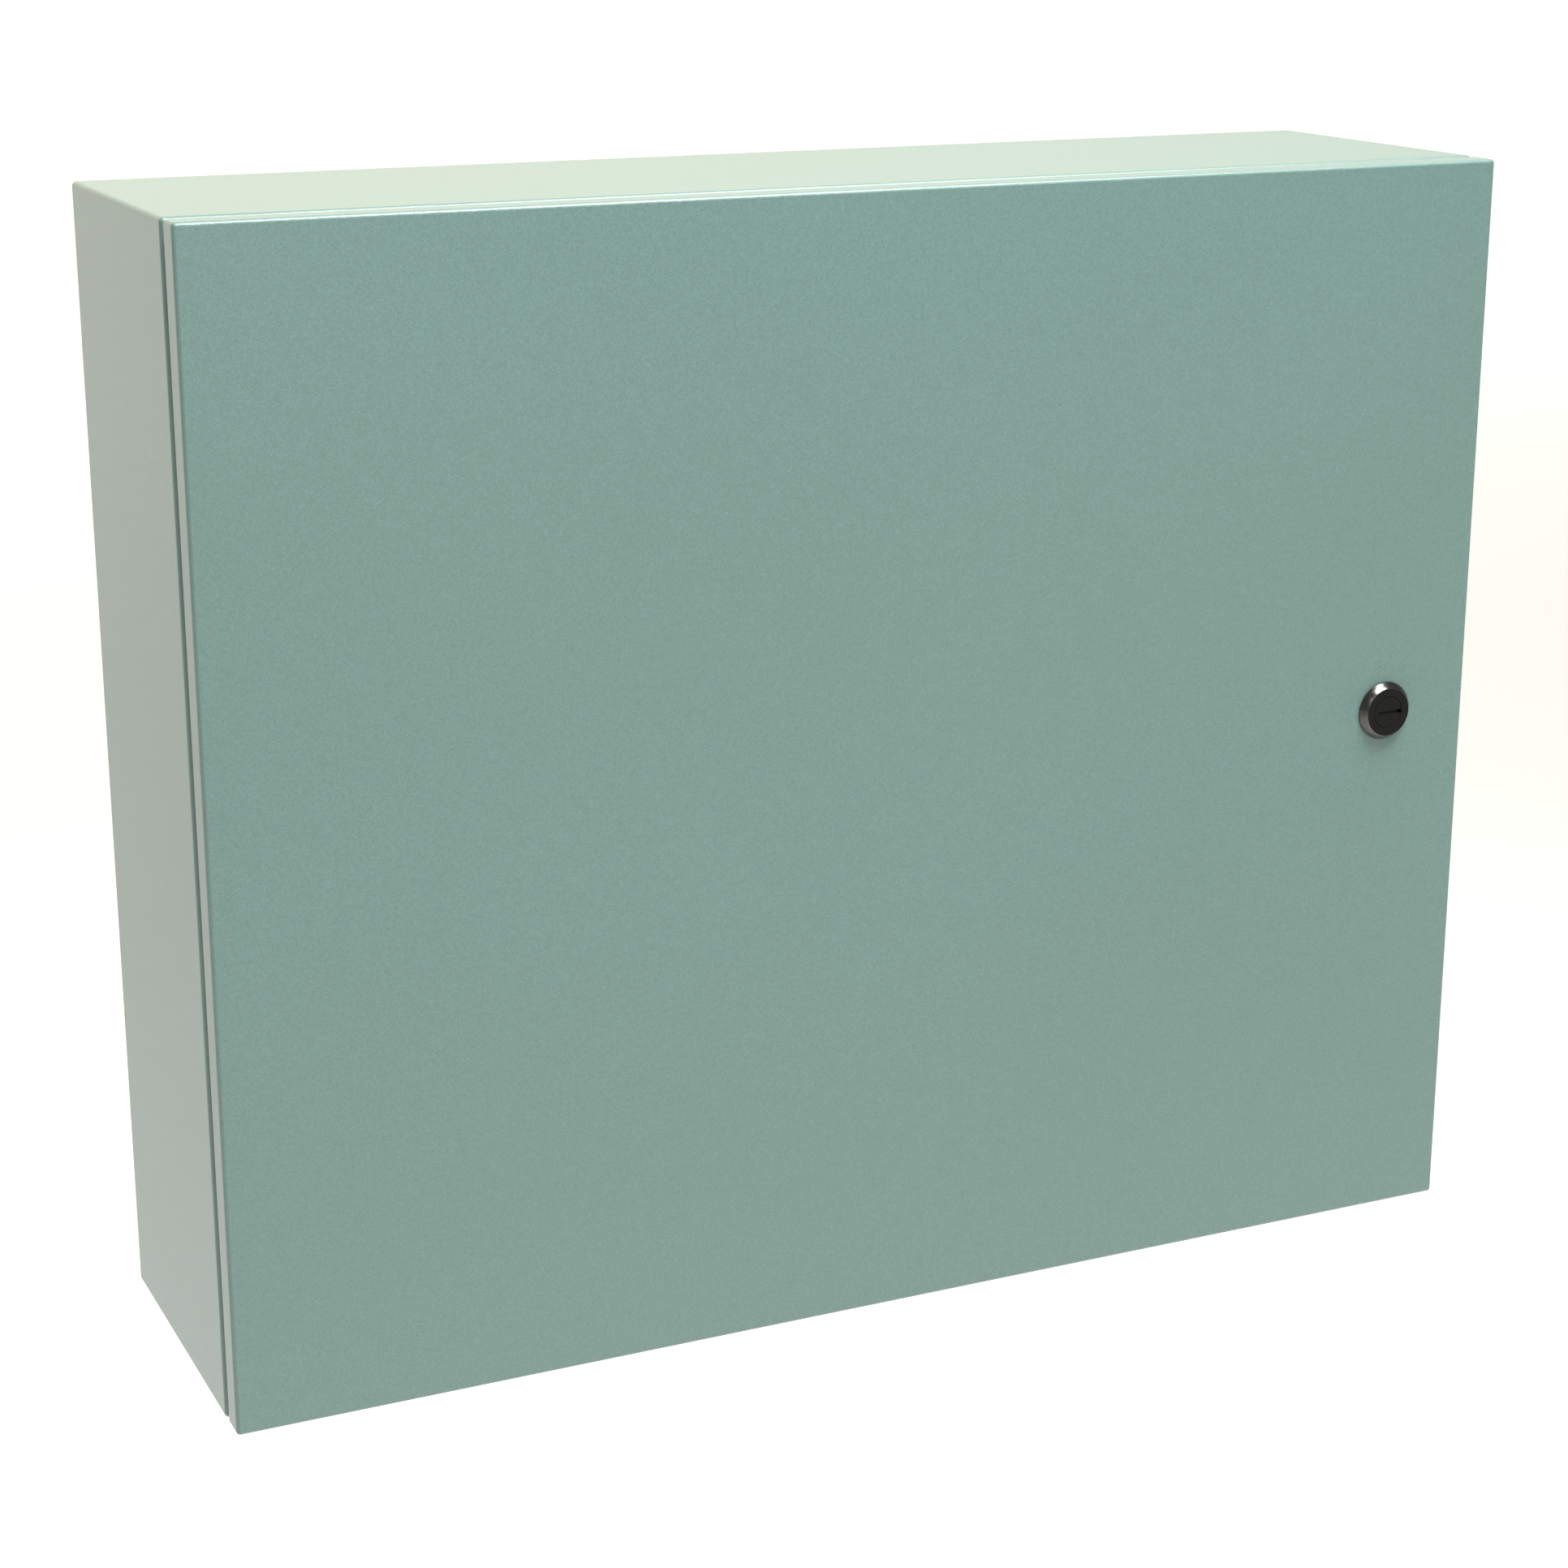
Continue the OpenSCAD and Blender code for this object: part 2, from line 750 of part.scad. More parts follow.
module latch_cam_bolt() {
    head_rear = cam_rear + cam_washer_t + bolt_head_h;
    color(zinc)
    union() {
        hex_forward(latch_x, head_rear, 0, bolt_head_af, bolt_head_h);
        rod_forward(latch_x, head_rear - bolt_head_h + over, 0, bolt_r, bolt_len + over);
    }
}

module hinge_pin(level) {
    color(galvanised)
    translate([axis_x, axis_y, level * hinge_z])
        union() {
            translate([0, 0, -pin_top - pin_tail])
                cylinder(r = pin_r, h = 2 * pin_top + pin_tail + pin_head_gap + pin_head_h);
            translate([0, 0, pin_top + pin_head_gap])
                cylinder(r = pin_head_r, h = pin_head_h);
        }
}

module upper_hinge_pin() {
    hinge_pin(1);
}

module lower_hinge_pin() {
    hinge_pin(-1);
}

body_shell();
mounting_panel();
panel_studs();
panel_washers();
panel_nuts();
gland_plate();
gland_gasket();
gland_studs();
gland_nuts();
body_earth_stud();
body_earth_washer();
body_earth_nut();
upper_hinge_body_leaf();
lower_hinge_body_leaf();
hinge_screws();
hinge_screw_nuts();
door_panel();
door_gasket();
left_door_rail();
right_door_rail();
upper_hinge_door_leaf();
lower_hinge_door_leaf();
hinge_door_studs();
hinge_door_nuts();
door_earth_stud();
door_earth_washer();
door_earth_nut();
latch_housing();
latch_face_ring();
latch_seal();
latch_nut();
latch_rotor();
latch_cam();
latch_cam_washer();
latch_cam_bolt();
upper_hinge_pin();
lower_hinge_pin();
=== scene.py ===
"""Wall-mounted sheet-steel enclosure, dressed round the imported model.

Every piece stands in the model's own frame: +X to the right, the door faces -Y, +Z up, and
the origin is the centre of the back face. Shapes are worked out in millimetres, and
to_object turns them into meshes in metres.
"""

from __future__ import annotations

import json
import logging
import math
from dataclasses import dataclass
from enum import Enum
from typing import Callable, Iterable, Sequence

import bmesh
import bpy
from mathutils import Matrix, Vector


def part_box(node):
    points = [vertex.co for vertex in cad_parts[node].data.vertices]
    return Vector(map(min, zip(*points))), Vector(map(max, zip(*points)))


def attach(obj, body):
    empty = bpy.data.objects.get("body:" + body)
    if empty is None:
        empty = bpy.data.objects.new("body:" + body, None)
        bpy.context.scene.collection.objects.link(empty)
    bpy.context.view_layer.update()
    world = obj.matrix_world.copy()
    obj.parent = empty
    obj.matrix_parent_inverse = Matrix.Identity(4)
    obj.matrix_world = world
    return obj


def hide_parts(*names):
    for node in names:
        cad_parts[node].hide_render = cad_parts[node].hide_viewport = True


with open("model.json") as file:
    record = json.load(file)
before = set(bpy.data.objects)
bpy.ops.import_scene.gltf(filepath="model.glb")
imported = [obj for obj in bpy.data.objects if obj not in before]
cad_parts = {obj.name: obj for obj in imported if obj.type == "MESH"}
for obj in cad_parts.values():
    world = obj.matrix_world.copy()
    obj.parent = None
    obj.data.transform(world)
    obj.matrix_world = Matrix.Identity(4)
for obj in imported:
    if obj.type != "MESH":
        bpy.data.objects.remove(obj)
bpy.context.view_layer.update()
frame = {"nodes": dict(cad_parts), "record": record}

LOG = logging.getLogger("enclosure")
MM = 0.001
Point2 = tuple[float, float]
Point3 = tuple[float, float, float]
Colour = tuple[float, float, float]
# Faces in a quarter bend, round a small turned piece, round the latch and round a bead's corner.
ARC_STEPS, ROUND_STEPS, FINE_ROUND_STEPS, BEAD_CORNER_STEPS = 6, 48, 96, 8
# Edges flatter than this many degrees are shaded smooth; points closer than this are merged.
SMOOTH_BELOW, MERGE_MM = 32.0, 0.0005
# Widths of the rounded edge of a folded sheet and of a flat plate, in millimetres.
SHEET_EDGE, PLATE_EDGE = 0.35, 0.25
# Coarse metric thread pitches, and how much wider than the thread a nut and a washer are bored.
M4_PITCH, M5_PITCH, M8_PITCH = 0.7, 0.8, 1.25
NUT_PLAY, WASHER_PLAY = 0.05, 0.2
# Colour sockets of a Mix node and float sockets of a Random Value node, which share their names.
MIX_FIRST, MIX_SECOND, MIX_RESULT = 6, 7, 2
RANDOM_LOW, RANDOM_HIGH, RANDOM_RESULT = 2, 3, 1


class Facing(Enum):
    """Which way the axis of a turned piece points."""

    FORWARD = "towards the viewer of the door"
    UP = "up"

    def matrix(self) -> Matrix:
        """Turns a shape made along +Z to this facing."""
        return Matrix.Rotation(math.pi / 2, 4, "X") if self is Facing.FORWARD else Matrix.Identity(4)

    def axis(self) -> Point3:
        """The unit vector along the axis."""
        return (0.0, 1.0, 0.0) if self is Facing.FORWARD else (0.0, 0.0, 1.0)


@dataclass(frozen=True)
class Extent:
    """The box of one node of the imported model, in millimetres."""

    low: Point3
    high: Point3

    @classmethod
    def of(cls, node: str) -> "Extent":
        """Reads the box of a node."""
        low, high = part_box(node)
        return cls(tuple(v / MM for v in low), tuple(v / MM for v in high))

    @property
    def size(self) -> Point3:
        """Width, depth and height."""
        return tuple(b - a for a, b in zip(self.low, self.high))

    @property
    def middle(self) -> Point3:
        """The centre of the box."""
        return tuple((a + b) / 2 for a, b in zip(self.low, self.high))


# ----------------------------------------------------------------------------- finishes


class ShaderSheet:
    """A material under construction, with one Principled shader."""

    def __init__(self, name: str) -> None:
        """Starts an empty material.

        Args:
            name: The material's name.
        """
        self.material = bpy.data.materials.new(name)
        self.material.use_nodes = True
        self.tree = self.material.node_tree
        self.tree.nodes.clear()
        self.shader = self.add("ShaderNodeBsdfPrincipled")
        output = self.add("ShaderNodeOutputMaterial")
        self.join(self.shader.outputs["BSDF"], output.inputs["Surface"])
        self.place = self.add("ShaderNodeTexCoord").outputs["Object"]

    def add(self, kind: str, **inputs: float | Sequence[float]) -> bpy.types.Node:
        """Adds a node and sets its numeric inputs.

        Args:
            kind: The node's type name.
            inputs: Values by input name, with spaces written as underscores.

        Returns:
            The new node.
        """
        node = self.tree.nodes.new(kind)
        for key, value in inputs.items():
            node.inputs[key.replace("_", " ")].default_value = value
        return node

    def join(self, source: bpy.types.NodeSocket, target: bpy.types.NodeSocket) -> None:
        """Links two sockets."""
        self.tree.links.new(source, target)

    def stretched(self, scale: Point3) -> bpy.types.NodeSocket:
        """Object coordinates scaled along each axis, for a brushed or rolled grain.

        Args:
            scale: How much each axis is scaled.

        Returns:
            The scaled coordinates.
        """
        mapping = self.add("ShaderNodeMapping", Scale=scale)
        self.join(self.place, mapping.inputs["Vector"])
        return mapping.outputs["Vector"]

    def noise(self, scale: float, detail: float = 2.0, rough: float = 0.5,
              place: bpy.types.NodeSocket | None = None) -> bpy.types.NodeSocket:
        """Adds a noise pattern.

        Args:
            scale: Features per metre.
            detail: How many finer layers it has.
            rough: How strong those layers are.
            place: The coordinates, or None for plain object coordinates.

        Returns:
            The pattern's value, about 0.5 on average.
        """
        node = self.add("ShaderNodeTexNoise", Scale=scale, Detail=detail, Roughness=rough)
        self.join(place or self.place, node.inputs["Vector"])
        return node.outputs["Fac"]

    def cells(self, scale: float, output: str = "Distance") -> bpy.types.NodeSocket:
        """Adds a cell pattern with that many cells per metre.

        Args:
            scale: Cells per metre.
            output: Which of the pattern's outputs is used.

        Returns:
            The pattern's value.
        """
        node = self.add("ShaderNodeTexVoronoi", Scale=scale)
        self.join(self.place, node.inputs["Vector"])
        return node.outputs[output]

    def ranged(self, value: bpy.types.NodeSocket, source: Point2, target: Point2) -> bpy.types.NodeSocket:
        """Maps a value from one range to another, clamped.

        Args:
            value: The value.
            source: The range that it comes from.
            target: The range that it is mapped to.

        Returns:
            The mapped value.
        """
        node = self.add("ShaderNodeMapRange", From_Min=source[0], From_Max=source[1],
                        To_Min=target[0], To_Max=target[1])
        self.join(value, node.inputs["Value"])
        return node.outputs["Result"]

    def mixed(self, fac: bpy.types.NodeSocket, first: bpy.types.NodeSocket | Colour,
              second: bpy.types.NodeSocket | Colour) -> bpy.types.NodeSocket:
        """Blends two colours by a value.

        Args:
            fac: How much there is of the second colour.
            first: The first colour.
            second: The second colour.

        Returns:
            The blended colour.
        """
        node = self.tree.nodes.new("ShaderNodeMix")
        node.data_type = "RGBA"
        self.join(fac, node.inputs["Factor"])
        for index, colour in ((MIX_FIRST, first), (MIX_SECOND, second)):
            if isinstance(colour, bpy.types.NodeSocket):
                self.join(colour, node.inputs[index])
            else:
                node.inputs[index].default_value = (*colour, 1.0)
        return node.outputs[MIX_RESULT]

    def colour(self, value: bpy.types.NodeSocket) -> None:
        """Uses a socket as the base colour."""
        self.join(value, self.shader.inputs["Base Color"])

    def roughness(self, value: bpy.types.NodeSocket) -> None:
        """Uses a socket as the roughness."""
        self.join(value, self.shader.inputs["Roughness"])

    def relief(self, height: bpy.types.NodeSocket, depth_mm: float, strength: float = 1.0,
               under: bpy.types.NodeSocket | None = None) -> bpy.types.NodeSocket:
        """Adds a bump and uses it as the surface normal.

        Args:
            height: The pattern.
            depth_mm: The height of the pattern, in millimetres.
            strength: How strongly it shows.
            under: Another bump that this one lies on.

        Returns:
            The bumped normal.
        """
        node = self.add("ShaderNodeBump", Strength=strength, Distance=depth_mm * MM)
        self.join(height, node.inputs["Height"])
        if under is not None:
            self.join(under, node.inputs["Normal"])
        self.join(node.outputs["Normal"], self.shader.inputs["Normal"])
        return node.outputs["Normal"]

    def fixed(self, **values: float) -> None:
        """Sets uniform numbers on the shader's own sockets."""
        for key, value in values.items():
            self.shader.inputs[key.replace("_", " ")].default_value = value


def shade(colour: Colour, factor: float) -> Colour:
    """A colour made lighter or darker."""
    return tuple(channel * factor for channel in colour)


@dataclass(frozen=True)
class PowderCoat:
    """Fine-textured powder coat on sheet steel."""

    name: str = "sage_powder_coat"
    slot: str = "painted_steel"
    base: Colour = (0.131, 0.231, 0.208)
    grain_per_m: float = 1400.0
    gloss: float = 0.46
    grain_tones: Point2 = (0.74, 1.30)
    grain_amount: float = 0.60
    grain_depth: float = 0.15
    drift_tones: Point2 = (0.975, 1.015)
    specks_per_m: float = 520.0
    speck_tone: float = 1.8
    peel_per_m: float = 300.0
    peel_depth: float = 0.030
    lacquer: float = 0.76
    lacquer_gloss: float = 0.24

    def build(self) -> bpy.types.Material:
        """Makes the material: tone drift, grain, sparse pale specks and an orange-peel relief.

        Returns:
            The material.
        """
        sheet = ShaderSheet(self.name)
        drift = sheet.ranged(sheet.noise(4.0, 2.0), (0.3, 0.7), (0.0, 1.0))
        tone = sheet.mixed(drift, *(shade(self.base, factor) for factor in self.drift_tones))
        grain = sheet.noise(self.grain_per_m, 3.0, 0.65)
        amount = (0.0, self.grain_amount)
        darker, lighter = (shade(self.base, factor) for factor in self.grain_tones)
        light = sheet.mixed(sheet.ranged(grain, (0.5, 0.72), amount), tone, lighter)
        dark = sheet.mixed(sheet.ranged(grain, (0.5, 0.28), amount), light, darker)
        specks = sheet.ranged(sheet.cells(self.specks_per_m), (0.08, 0.20), (0.20, 0.0))
        sheet.colour(sheet.mixed(specks, dark, shade(self.base, self.speck_tone)))
        peel = sheet.noise(self.peel_per_m, 1.0)
        sheet.roughness(sheet.ranged(grain, (0.3, 0.7), (self.gloss - 0.06, self.gloss + 0.08)))
        broad = sheet.relief(peel, self.peel_depth, 0.45)
        bumped = sheet.relief(grain, self.grain_depth, 1.0, under=broad)
        sheet.join(bumped, sheet.shader.inputs["Coat Normal"])
        sheet.fixed(IOR=1.5, Coat_Weight=self.lacquer, Coat_Roughness=self.lacquer_gloss)
        return sheet.material


@dataclass(frozen=True)
class GalvanisedSheet:
    """Hot-dip galvanised sheet with a fine spangle and a rolled grain."""

    name: str = "galvanised_sheet"
    slot: str = "galvanised_steel"
    base: Colour = (0.50, 0.52, 0.53)
    spangles_per_m: float = 210.0

    def build(self) -> bpy.types.Material:
        """Makes the material: spangle cells change the tone and the gloss.

        Returns:
            The material.
        """
        sheet = ShaderSheet(self.name)
        spangle = sheet.cells(self.spangles_per_m, "Color")
        rolled = sheet.noise(60.0, 3.0, 0.6, sheet.stretched((1.0, 12.0, 12.0)))
        tone = sheet.mixed(sheet.ranged(spangle, (0.0, 1.0), (0.0, 1.0)),
                           shade(self.base, 0.90), shade(self.base, 1.08))
        dulled = sheet.ranged(rolled, (0.35, 0.7), (0.0, 0.35))
        sheet.colour(sheet.mixed(dulled, tone, shade(self.base, 0.82)))
        sheet.roughness(sheet.ranged(spangle, (0.0, 1.0), (0.34, 0.50)))
        sheet.relief(rolled, 0.01, 0.3)
        sheet.fixed(Metallic=1.0)
        return sheet.material


@dataclass(frozen=True)
class ZincPlate:
    """Bright zinc plating on small steel hardware."""

    name: str = "bright_zinc"
    slot: str = "zinc_plate"
    base: Colour = (0.55, 0.57, 0.58)
    gloss: float = 0.27

    def build(self) -> bpy.types.Material:
        """Makes the material: a faint cloudy tint and fine handling marks.

        Returns:
            The material.
        """
        sheet = ShaderSheet(self.name)
        cloud = sheet.noise(140.0, 3.0, 0.55)
        tint = sheet.mixed(sheet.ranged(cloud, (0.35, 0.65), (0.0, 1.0)),
                           shade(self.base, 0.92), (0.57, 0.57, 0.53))
        sheet.colour(tint)
        marks = sheet.noise(1800.0, 2.0, 0.7)
        sheet.roughness(sheet.ranged(marks, (0.3, 0.7), (self.gloss - 0.06, self.gloss + 0.14)))
        sheet.relief(marks, 0.006, 0.4)
        sheet.fixed(Metallic=1.0)
        return sheet.material


@dataclass(frozen=True)
class GroundPin:
    """Ground stainless pin, with faint marks round its length."""

    name: str = "ground_stainless"
    slot: str = "bright_steel"
    base: Colour = (0.56, 0.56, 0.55)

    def build(self) -> bpy.types.Material:
        """Makes the material: turned lines across the pin's axis.

        Returns:
            The material.
        """
        sheet = ShaderSheet(self.name)
        lines = sheet.noise(90.0, 2.0, 0.6, sheet.stretched((1.0, 1.0, 40.0)))
        sheet.colour(sheet.mixed(lines, shade(self.base, 0.9), shade(self.base, 1.08)))
        sheet.roughness(sheet.ranged(lines, (0.3, 0.7), (0.18, 0.36)))
        sheet.relief(lines, 0.004, 0.4)
        sheet.fixed(Metallic=1.0)
        return sheet.material


@dataclass(frozen=True)
class FoamRubber:
    """Foamed gasket with a skin and open pores."""

    name: str = "foam_gasket"
    slot: str = "foam_rubber"
    base: Colour = (0.026, 0.027, 0.029)

    def build(self) -> bpy.types.Material:
        """Makes the material: pores dent the skin, and their centres are painted darker as painted shade in
        the holes.

        Returns:
            The material.
        """
        sheet = ShaderSheet(self.name)
        pores = sheet.ranged(sheet.cells(620.0), (0.12, 0.42), (0.0, 1.0))
        skin = sheet.noise(230.0, 2.0)
        tone = sheet.mixed(skin, shade(self.base, 0.85), shade(self.base, 1.45))
        # Painted shade: the pore centres are darkened to stand in for the shade inside the holes.
        sheet.colour(sheet.mixed(pores, shade(self.base, 0.45), tone))
        sheet.roughness(sheet.ranged(skin, (0.3, 0.7), (0.74, 0.92)))
        sheet.relief(skin, 0.25, 0.5, under=sheet.relief(pores, 0.12, 0.7))
        return sheet.material


@dataclass(frozen=True)
class DarkNickel:
    """Dark nickel on a die casting, polished, with a faint cast waviness."""

    name: str = "dark_nickel"
    slot: str = "dark_chrome"
    base: Colour = (0.105, 0.100, 0.096)

    def build(self) -> bpy.types.Material:
        """Makes the material.

        Returns:
            The material.
        """
        sheet = ShaderSheet(self.name)
        wave = sheet.noise(260.0, 2.0)
        sheet.colour(sheet.mixed(wave, shade(self.base, 0.85), shade(self.base, 1.12)))
        fine = sheet.noise(2600.0, 1.0)
        sheet.roughness(sheet.ranged(fine, (0.3, 0.7), (0.14, 0.26)))
        sheet.relief(wave, 0.006, 0.25)
        sheet.fixed(Metallic=1.0)
        return sheet.material


@dataclass(frozen=True)
class MouldedBlack:
    """Matte black glass-filled nylon with a spark-eroded texture."""

    name: str = "moulded_black"
    slot: str = "black_plastic"
    base: Colour = (0.0046, 0.0044, 0.0040)

    def build(self) -> bpy.types.Material:
        """Makes the material.

        Returns:
            The material.
        """
        sheet = ShaderSheet(self.name)
        erosion = sheet.noise(2400.0, 2.0, 0.65)
        flow = sheet.noise(180.0, 2.0)
        tone = sheet.mixed(flow, shade(self.base, 0.85), shade(self.base, 1.25))
        sheet.colour(sheet.mixed(sheet.ranged(erosion, (0.5, 0.8), (0.0, 0.6)), tone, shade(self.base, 1.9)))
        sheet.roughness(sheet.ranged(erosion, (0.3, 0.7), (0.58, 0.78)))
        sheet.relief(erosion, 0.02, 0.6)
        sheet.fixed(Specular_IOR_Level=0.2)
        return sheet.material


class Finishes:
    """All the finishes of the object, each made once."""

    def __init__(self) -> None:
        """Makes the materials."""
        self.specs = {
            spec.slot: spec
            for spec in (PowderCoat(), GalvanisedSheet(), ZincPlate(), GroundPin(), FoamRubber(),
                         DarkNickel(), MouldedBlack())
        }
        self.made = {slot: spec.build() for slot, spec in self.specs.items()}

    def dress(self, piece: bpy.types.Object, slot: str) -> None:
        """Gives a piece one finish all over.

        Args:
            piece: The piece.
            slot: The slot of the finish.
        """
        piece.data.materials.clear()
        piece.data.materials.append(self.made[slot])

    def dress_node(self, node: str, slot: str) -> None:
        """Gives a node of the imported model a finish.

        Args:
            node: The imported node.
            slot: The slot of the finish.
        """
        carried = frame["nodes"][node]
        if not carried.material_slots:
            carried.data.materials.append(self.made[slot])
        for place in carried.material_slots:
            place.material = self.made[slot]


# -------------------------------------------------------------------------- mesh making


def quarter(centre: Point2, radius: float, start: float) -> list[Point2]:
    """Points of a quarter circle.

    Args:
        centre: Its centre.
        radius: Its radius.
        start: The angle of its first point, in degrees.

    Returns:
        The points, counter-clockwise.
    """
    angles = (math.radians(start + 90 * i / ARC_STEPS) for i in range(ARC_STEPS + 1))
    return [(centre[0] + radius * math.cos(a), centre[1] + radius * math.sin(a)) for a in angles]


def rounded_outline(width: float, height: float, radius: float) -> list[Point2]:
    """Outline of a rectangle with rounded corners, centred on the origin.

    Args:
        width: Its width.
        height: Its height.
        radius: The radius of its corners.

    Returns:
        The points, counter-clockwise.
    """
    x, z = width / 2 - radius, height / 2 - radius
    return (quarter((x, z), radius, 0) + quarter((-x, z), radius, 90)
            + quarter((-x, -z), radius, 180) + quarter((x, -z), radius, 270))


def placed(name: str, data: bpy.types.ID) -> bpy.types.Object:
    """Makes an object that shows a mesh, a light or a camera, and links it to the scene.

    Args:
        name: The object's name.
        data: What it shows.

    Returns:
        The new object, at the origin.
    """
    made = bpy.data.objects.new(name, data)
    bpy.context.scene.collection.objects.link(made)
    return made


def to_object(name: str, bm: bmesh.types.BMesh) -> bpy.types.Object:
    """Makes an object of a mesh in millimetres, with its normals outwards.

    Args:
        name: The object's name.
        bm: The mesh, which is freed.

    Returns:
        The new object, at the origin.
    """
    bmesh.ops.remove_doubles(bm, verts=bm.verts[:], dist=MERGE_MM)
    bmesh.ops.recalc_face_normals(bm, faces=bm.faces[:])
    bmesh.ops.scale(bm, vec=(MM, MM, MM), verts=bm.verts[:])
    mesh = bpy.data.meshes.new(name)
    bm.to_mesh(mesh)
    bm.free()
    mesh.shade_smooth()
    mesh.set_sharp_from_angle(angle=math.radians(SMOOTH_BELOW))
    return placed(name, mesh)


def settle(piece: bpy.types.Object) -> bpy.types.Object:
    """Turns a piece's modifiers into its plain mesh.

    Args:
        piece: The piece.

    Returns:
        The piece.
    """
    graph = bpy.context.evaluated_depsgraph_get()
    mesh = bpy.data.meshes.new_from_object(piece.evaluated_get(graph), depsgraph=graph)
    piece.modifiers.clear()
    piece.data = mesh
    mesh.name = piece.name
    return piece


def discard(piece: bpy.types.Object) -> None:
    """Deletes a helper object and its mesh.

    Args:
        piece: The piece.
    """
    mesh = piece.data
    bpy.data.objects.remove(piece)
    bpy.data.meshes.remove(mesh)


def cut(piece: bpy.types.Object, cutters: Iterable[bpy.types.Object]) -> bpy.types.Object:
    """Cuts closed shapes out of a piece and deletes them.

    Args:
        piece: The piece.
        cutters: The closed shapes to cut out.

    Returns:
        The piece.
    """
    cutters = list(cutters)
    for index, cutter in enumerate(cutters):
        step = piece.modifiers.new(f"cut_{index}", "BOOLEAN")
        step.operation = "DIFFERENCE"
        step.solver = "EXACT"
        step.object = cutter
    settle(piece)
    for cutter in cutters:
        discard(cutter)
    return piece


def soften(piece: bpy.types.Object, width: float, above: float = 50.0) -> bpy.types.Object:
    """Rounds the sharp edges of a piece and evens its shading.

    Args:
        piece: The piece.
        width: The width of the rounding, in millimetres.
        above: Edges sharper than this many degrees are rounded.

    Returns:
        The piece.
    """
    edge = piece.modifiers.new("edges", "BEVEL")
    edge.width = width * MM
    edge.segments = 2
    edge.limit_method = "ANGLE"
    edge.angle_limit = math.radians(above)
    edge.use_clamp_overlap = True
    even = piece.modifiers.new("even", "WEIGHTED_NORMAL")
    even.keep_sharp = False
    even.weight = 90
    settle(piece)
    return piece


def prism(name: str, outline: Sequence[Point2], y_rear: float, y_front: float) -> bpy.types.Object:
    """Upright plate with the outline given in X and Z.

    Args:
        name: The object's name.
        outline: Its outline, in X and Z.
        y_rear: The plane of its rear face.
        y_front: The plane of its front face.

    Returns:
        The plate.
    """
    bm = bmesh.new()
    loops = [[bm.verts.new((x, y, z)) for x, z in outline] for y in (y_rear, y_front)]
    bm.faces.new(loops[0])
    bm.faces.new(reversed(loops[1]))
    bridge(bm, loops[0], loops[1])
    return to_object(name, bm)


def bridge(bm: bmesh.types.BMesh, first: Sequence[bmesh.types.BMVert],
           second: Sequence[bmesh.types.BMVert]) -> None:
    """Joins two closed loops of equal length with quads.

    Args:
        bm: The mesh.
        first: The points of one loop.
        second: The points of the other, in the same order.
    """
    count = len(first)
    for i in range(count):
        j = (i + 1) % count
        bm.faces.new((first[i], first[j], second[j], second[i]))


def block(name: str, low: Point3, high: Point3) -> bpy.types.Object:
    """Plain block between two corners, used to cut or to start a shape."""
    outline = [(low[0], low[2]), (high[0], low[2]), (high[0], high[2]), (low[0], high[2])]
    return prism(name, outline, high[1], low[1])


def turned(name: str, profile: Sequence[Point2] | Callable[[float], Sequence[Point2]], at: Point3,
           facing: Facing, steps: int = ROUND_STEPS) -> bpy.types.Object:
    """Shape turned round an axis from a closed profile.

    Args:
        name: The object's name.
        profile: Closed loop of (radius, height along the axis), or a function that gives one for
            an angle in radians.
        at: The point of the axis at height 0.
        facing: Which way the axis points.
        steps: How many faces go round.

    Returns:
        The turned piece.
    """
    bm = bmesh.new()
    rings = []
    for step in range(steps):
        angle = 2 * math.pi * step / steps
        points = profile(angle) if callable(profile) else profile
        rings.append([bm.verts.new((r * math.cos(angle), r * math.sin(angle), h)) for r, h in points])
    for step in range(steps):
        first, second = rings[step], rings[(step + 1) % steps]
        for i in range(len(first)):
            j = (i + 1) % len(first)
            bm.faces.new((first[i], second[i], second[j], first[j]))
    bmesh.ops.remove_doubles(bm, verts=bm.verts[:], dist=MERGE_MM)
    bmesh.ops.transform(bm, matrix=Matrix.Translation(at) @ facing.matrix(), verts=bm.verts[:])
    return to_object(name, bm)


def hole_cutter(radius: float, at: Point3, facing: Facing, thickness: float,
                chamfer: float = 0.3) -> bpy.types.Object:
    """Cutter for a drilled hole whose two edges are broken.

    Args:
        radius: The hole's radius.
        at: The point on its axis where the sheet starts.
        facing: Which way the sheet's thickness runs from that point.
        thickness: The sheet's thickness.
        chamfer: The width of the broken edge.

    Returns:
        The cutter.
    """
    wide = radius + chamfer + 0.5
    profile = [(0.0, -0.5), (wide, -0.5), (radius, chamfer), (radius, thickness - chamfer),
               (wide, thickness + 0.5), (0.0, thickness + 0.5)]
    return turned("cutter", profile, at, facing, 40)


def softened_node(name: str, node: str, width: float) -> bpy.types.Object:
    """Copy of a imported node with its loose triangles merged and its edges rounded.

    Args:
        name: The new object's name.
        node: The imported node.
        width: The width of the rounding, in millimetres.

    Returns:
        The copy.
    """
    bm = bmesh.new()
    bm.from_mesh(frame["nodes"][node].data)
    bmesh.ops.scale(bm, vec=(1 / MM, 1 / MM, 1 / MM), verts=bm.verts[:])
    bmesh.ops.remove_doubles(bm, verts=bm.verts[:], dist=0.001)
    bmesh.ops.dissolve_limit(bm, angle_limit=math.radians(0.5), verts=bm.verts[:], edges=bm.edges[:])
    return soften(to_object(name, bm), width, 40.0)


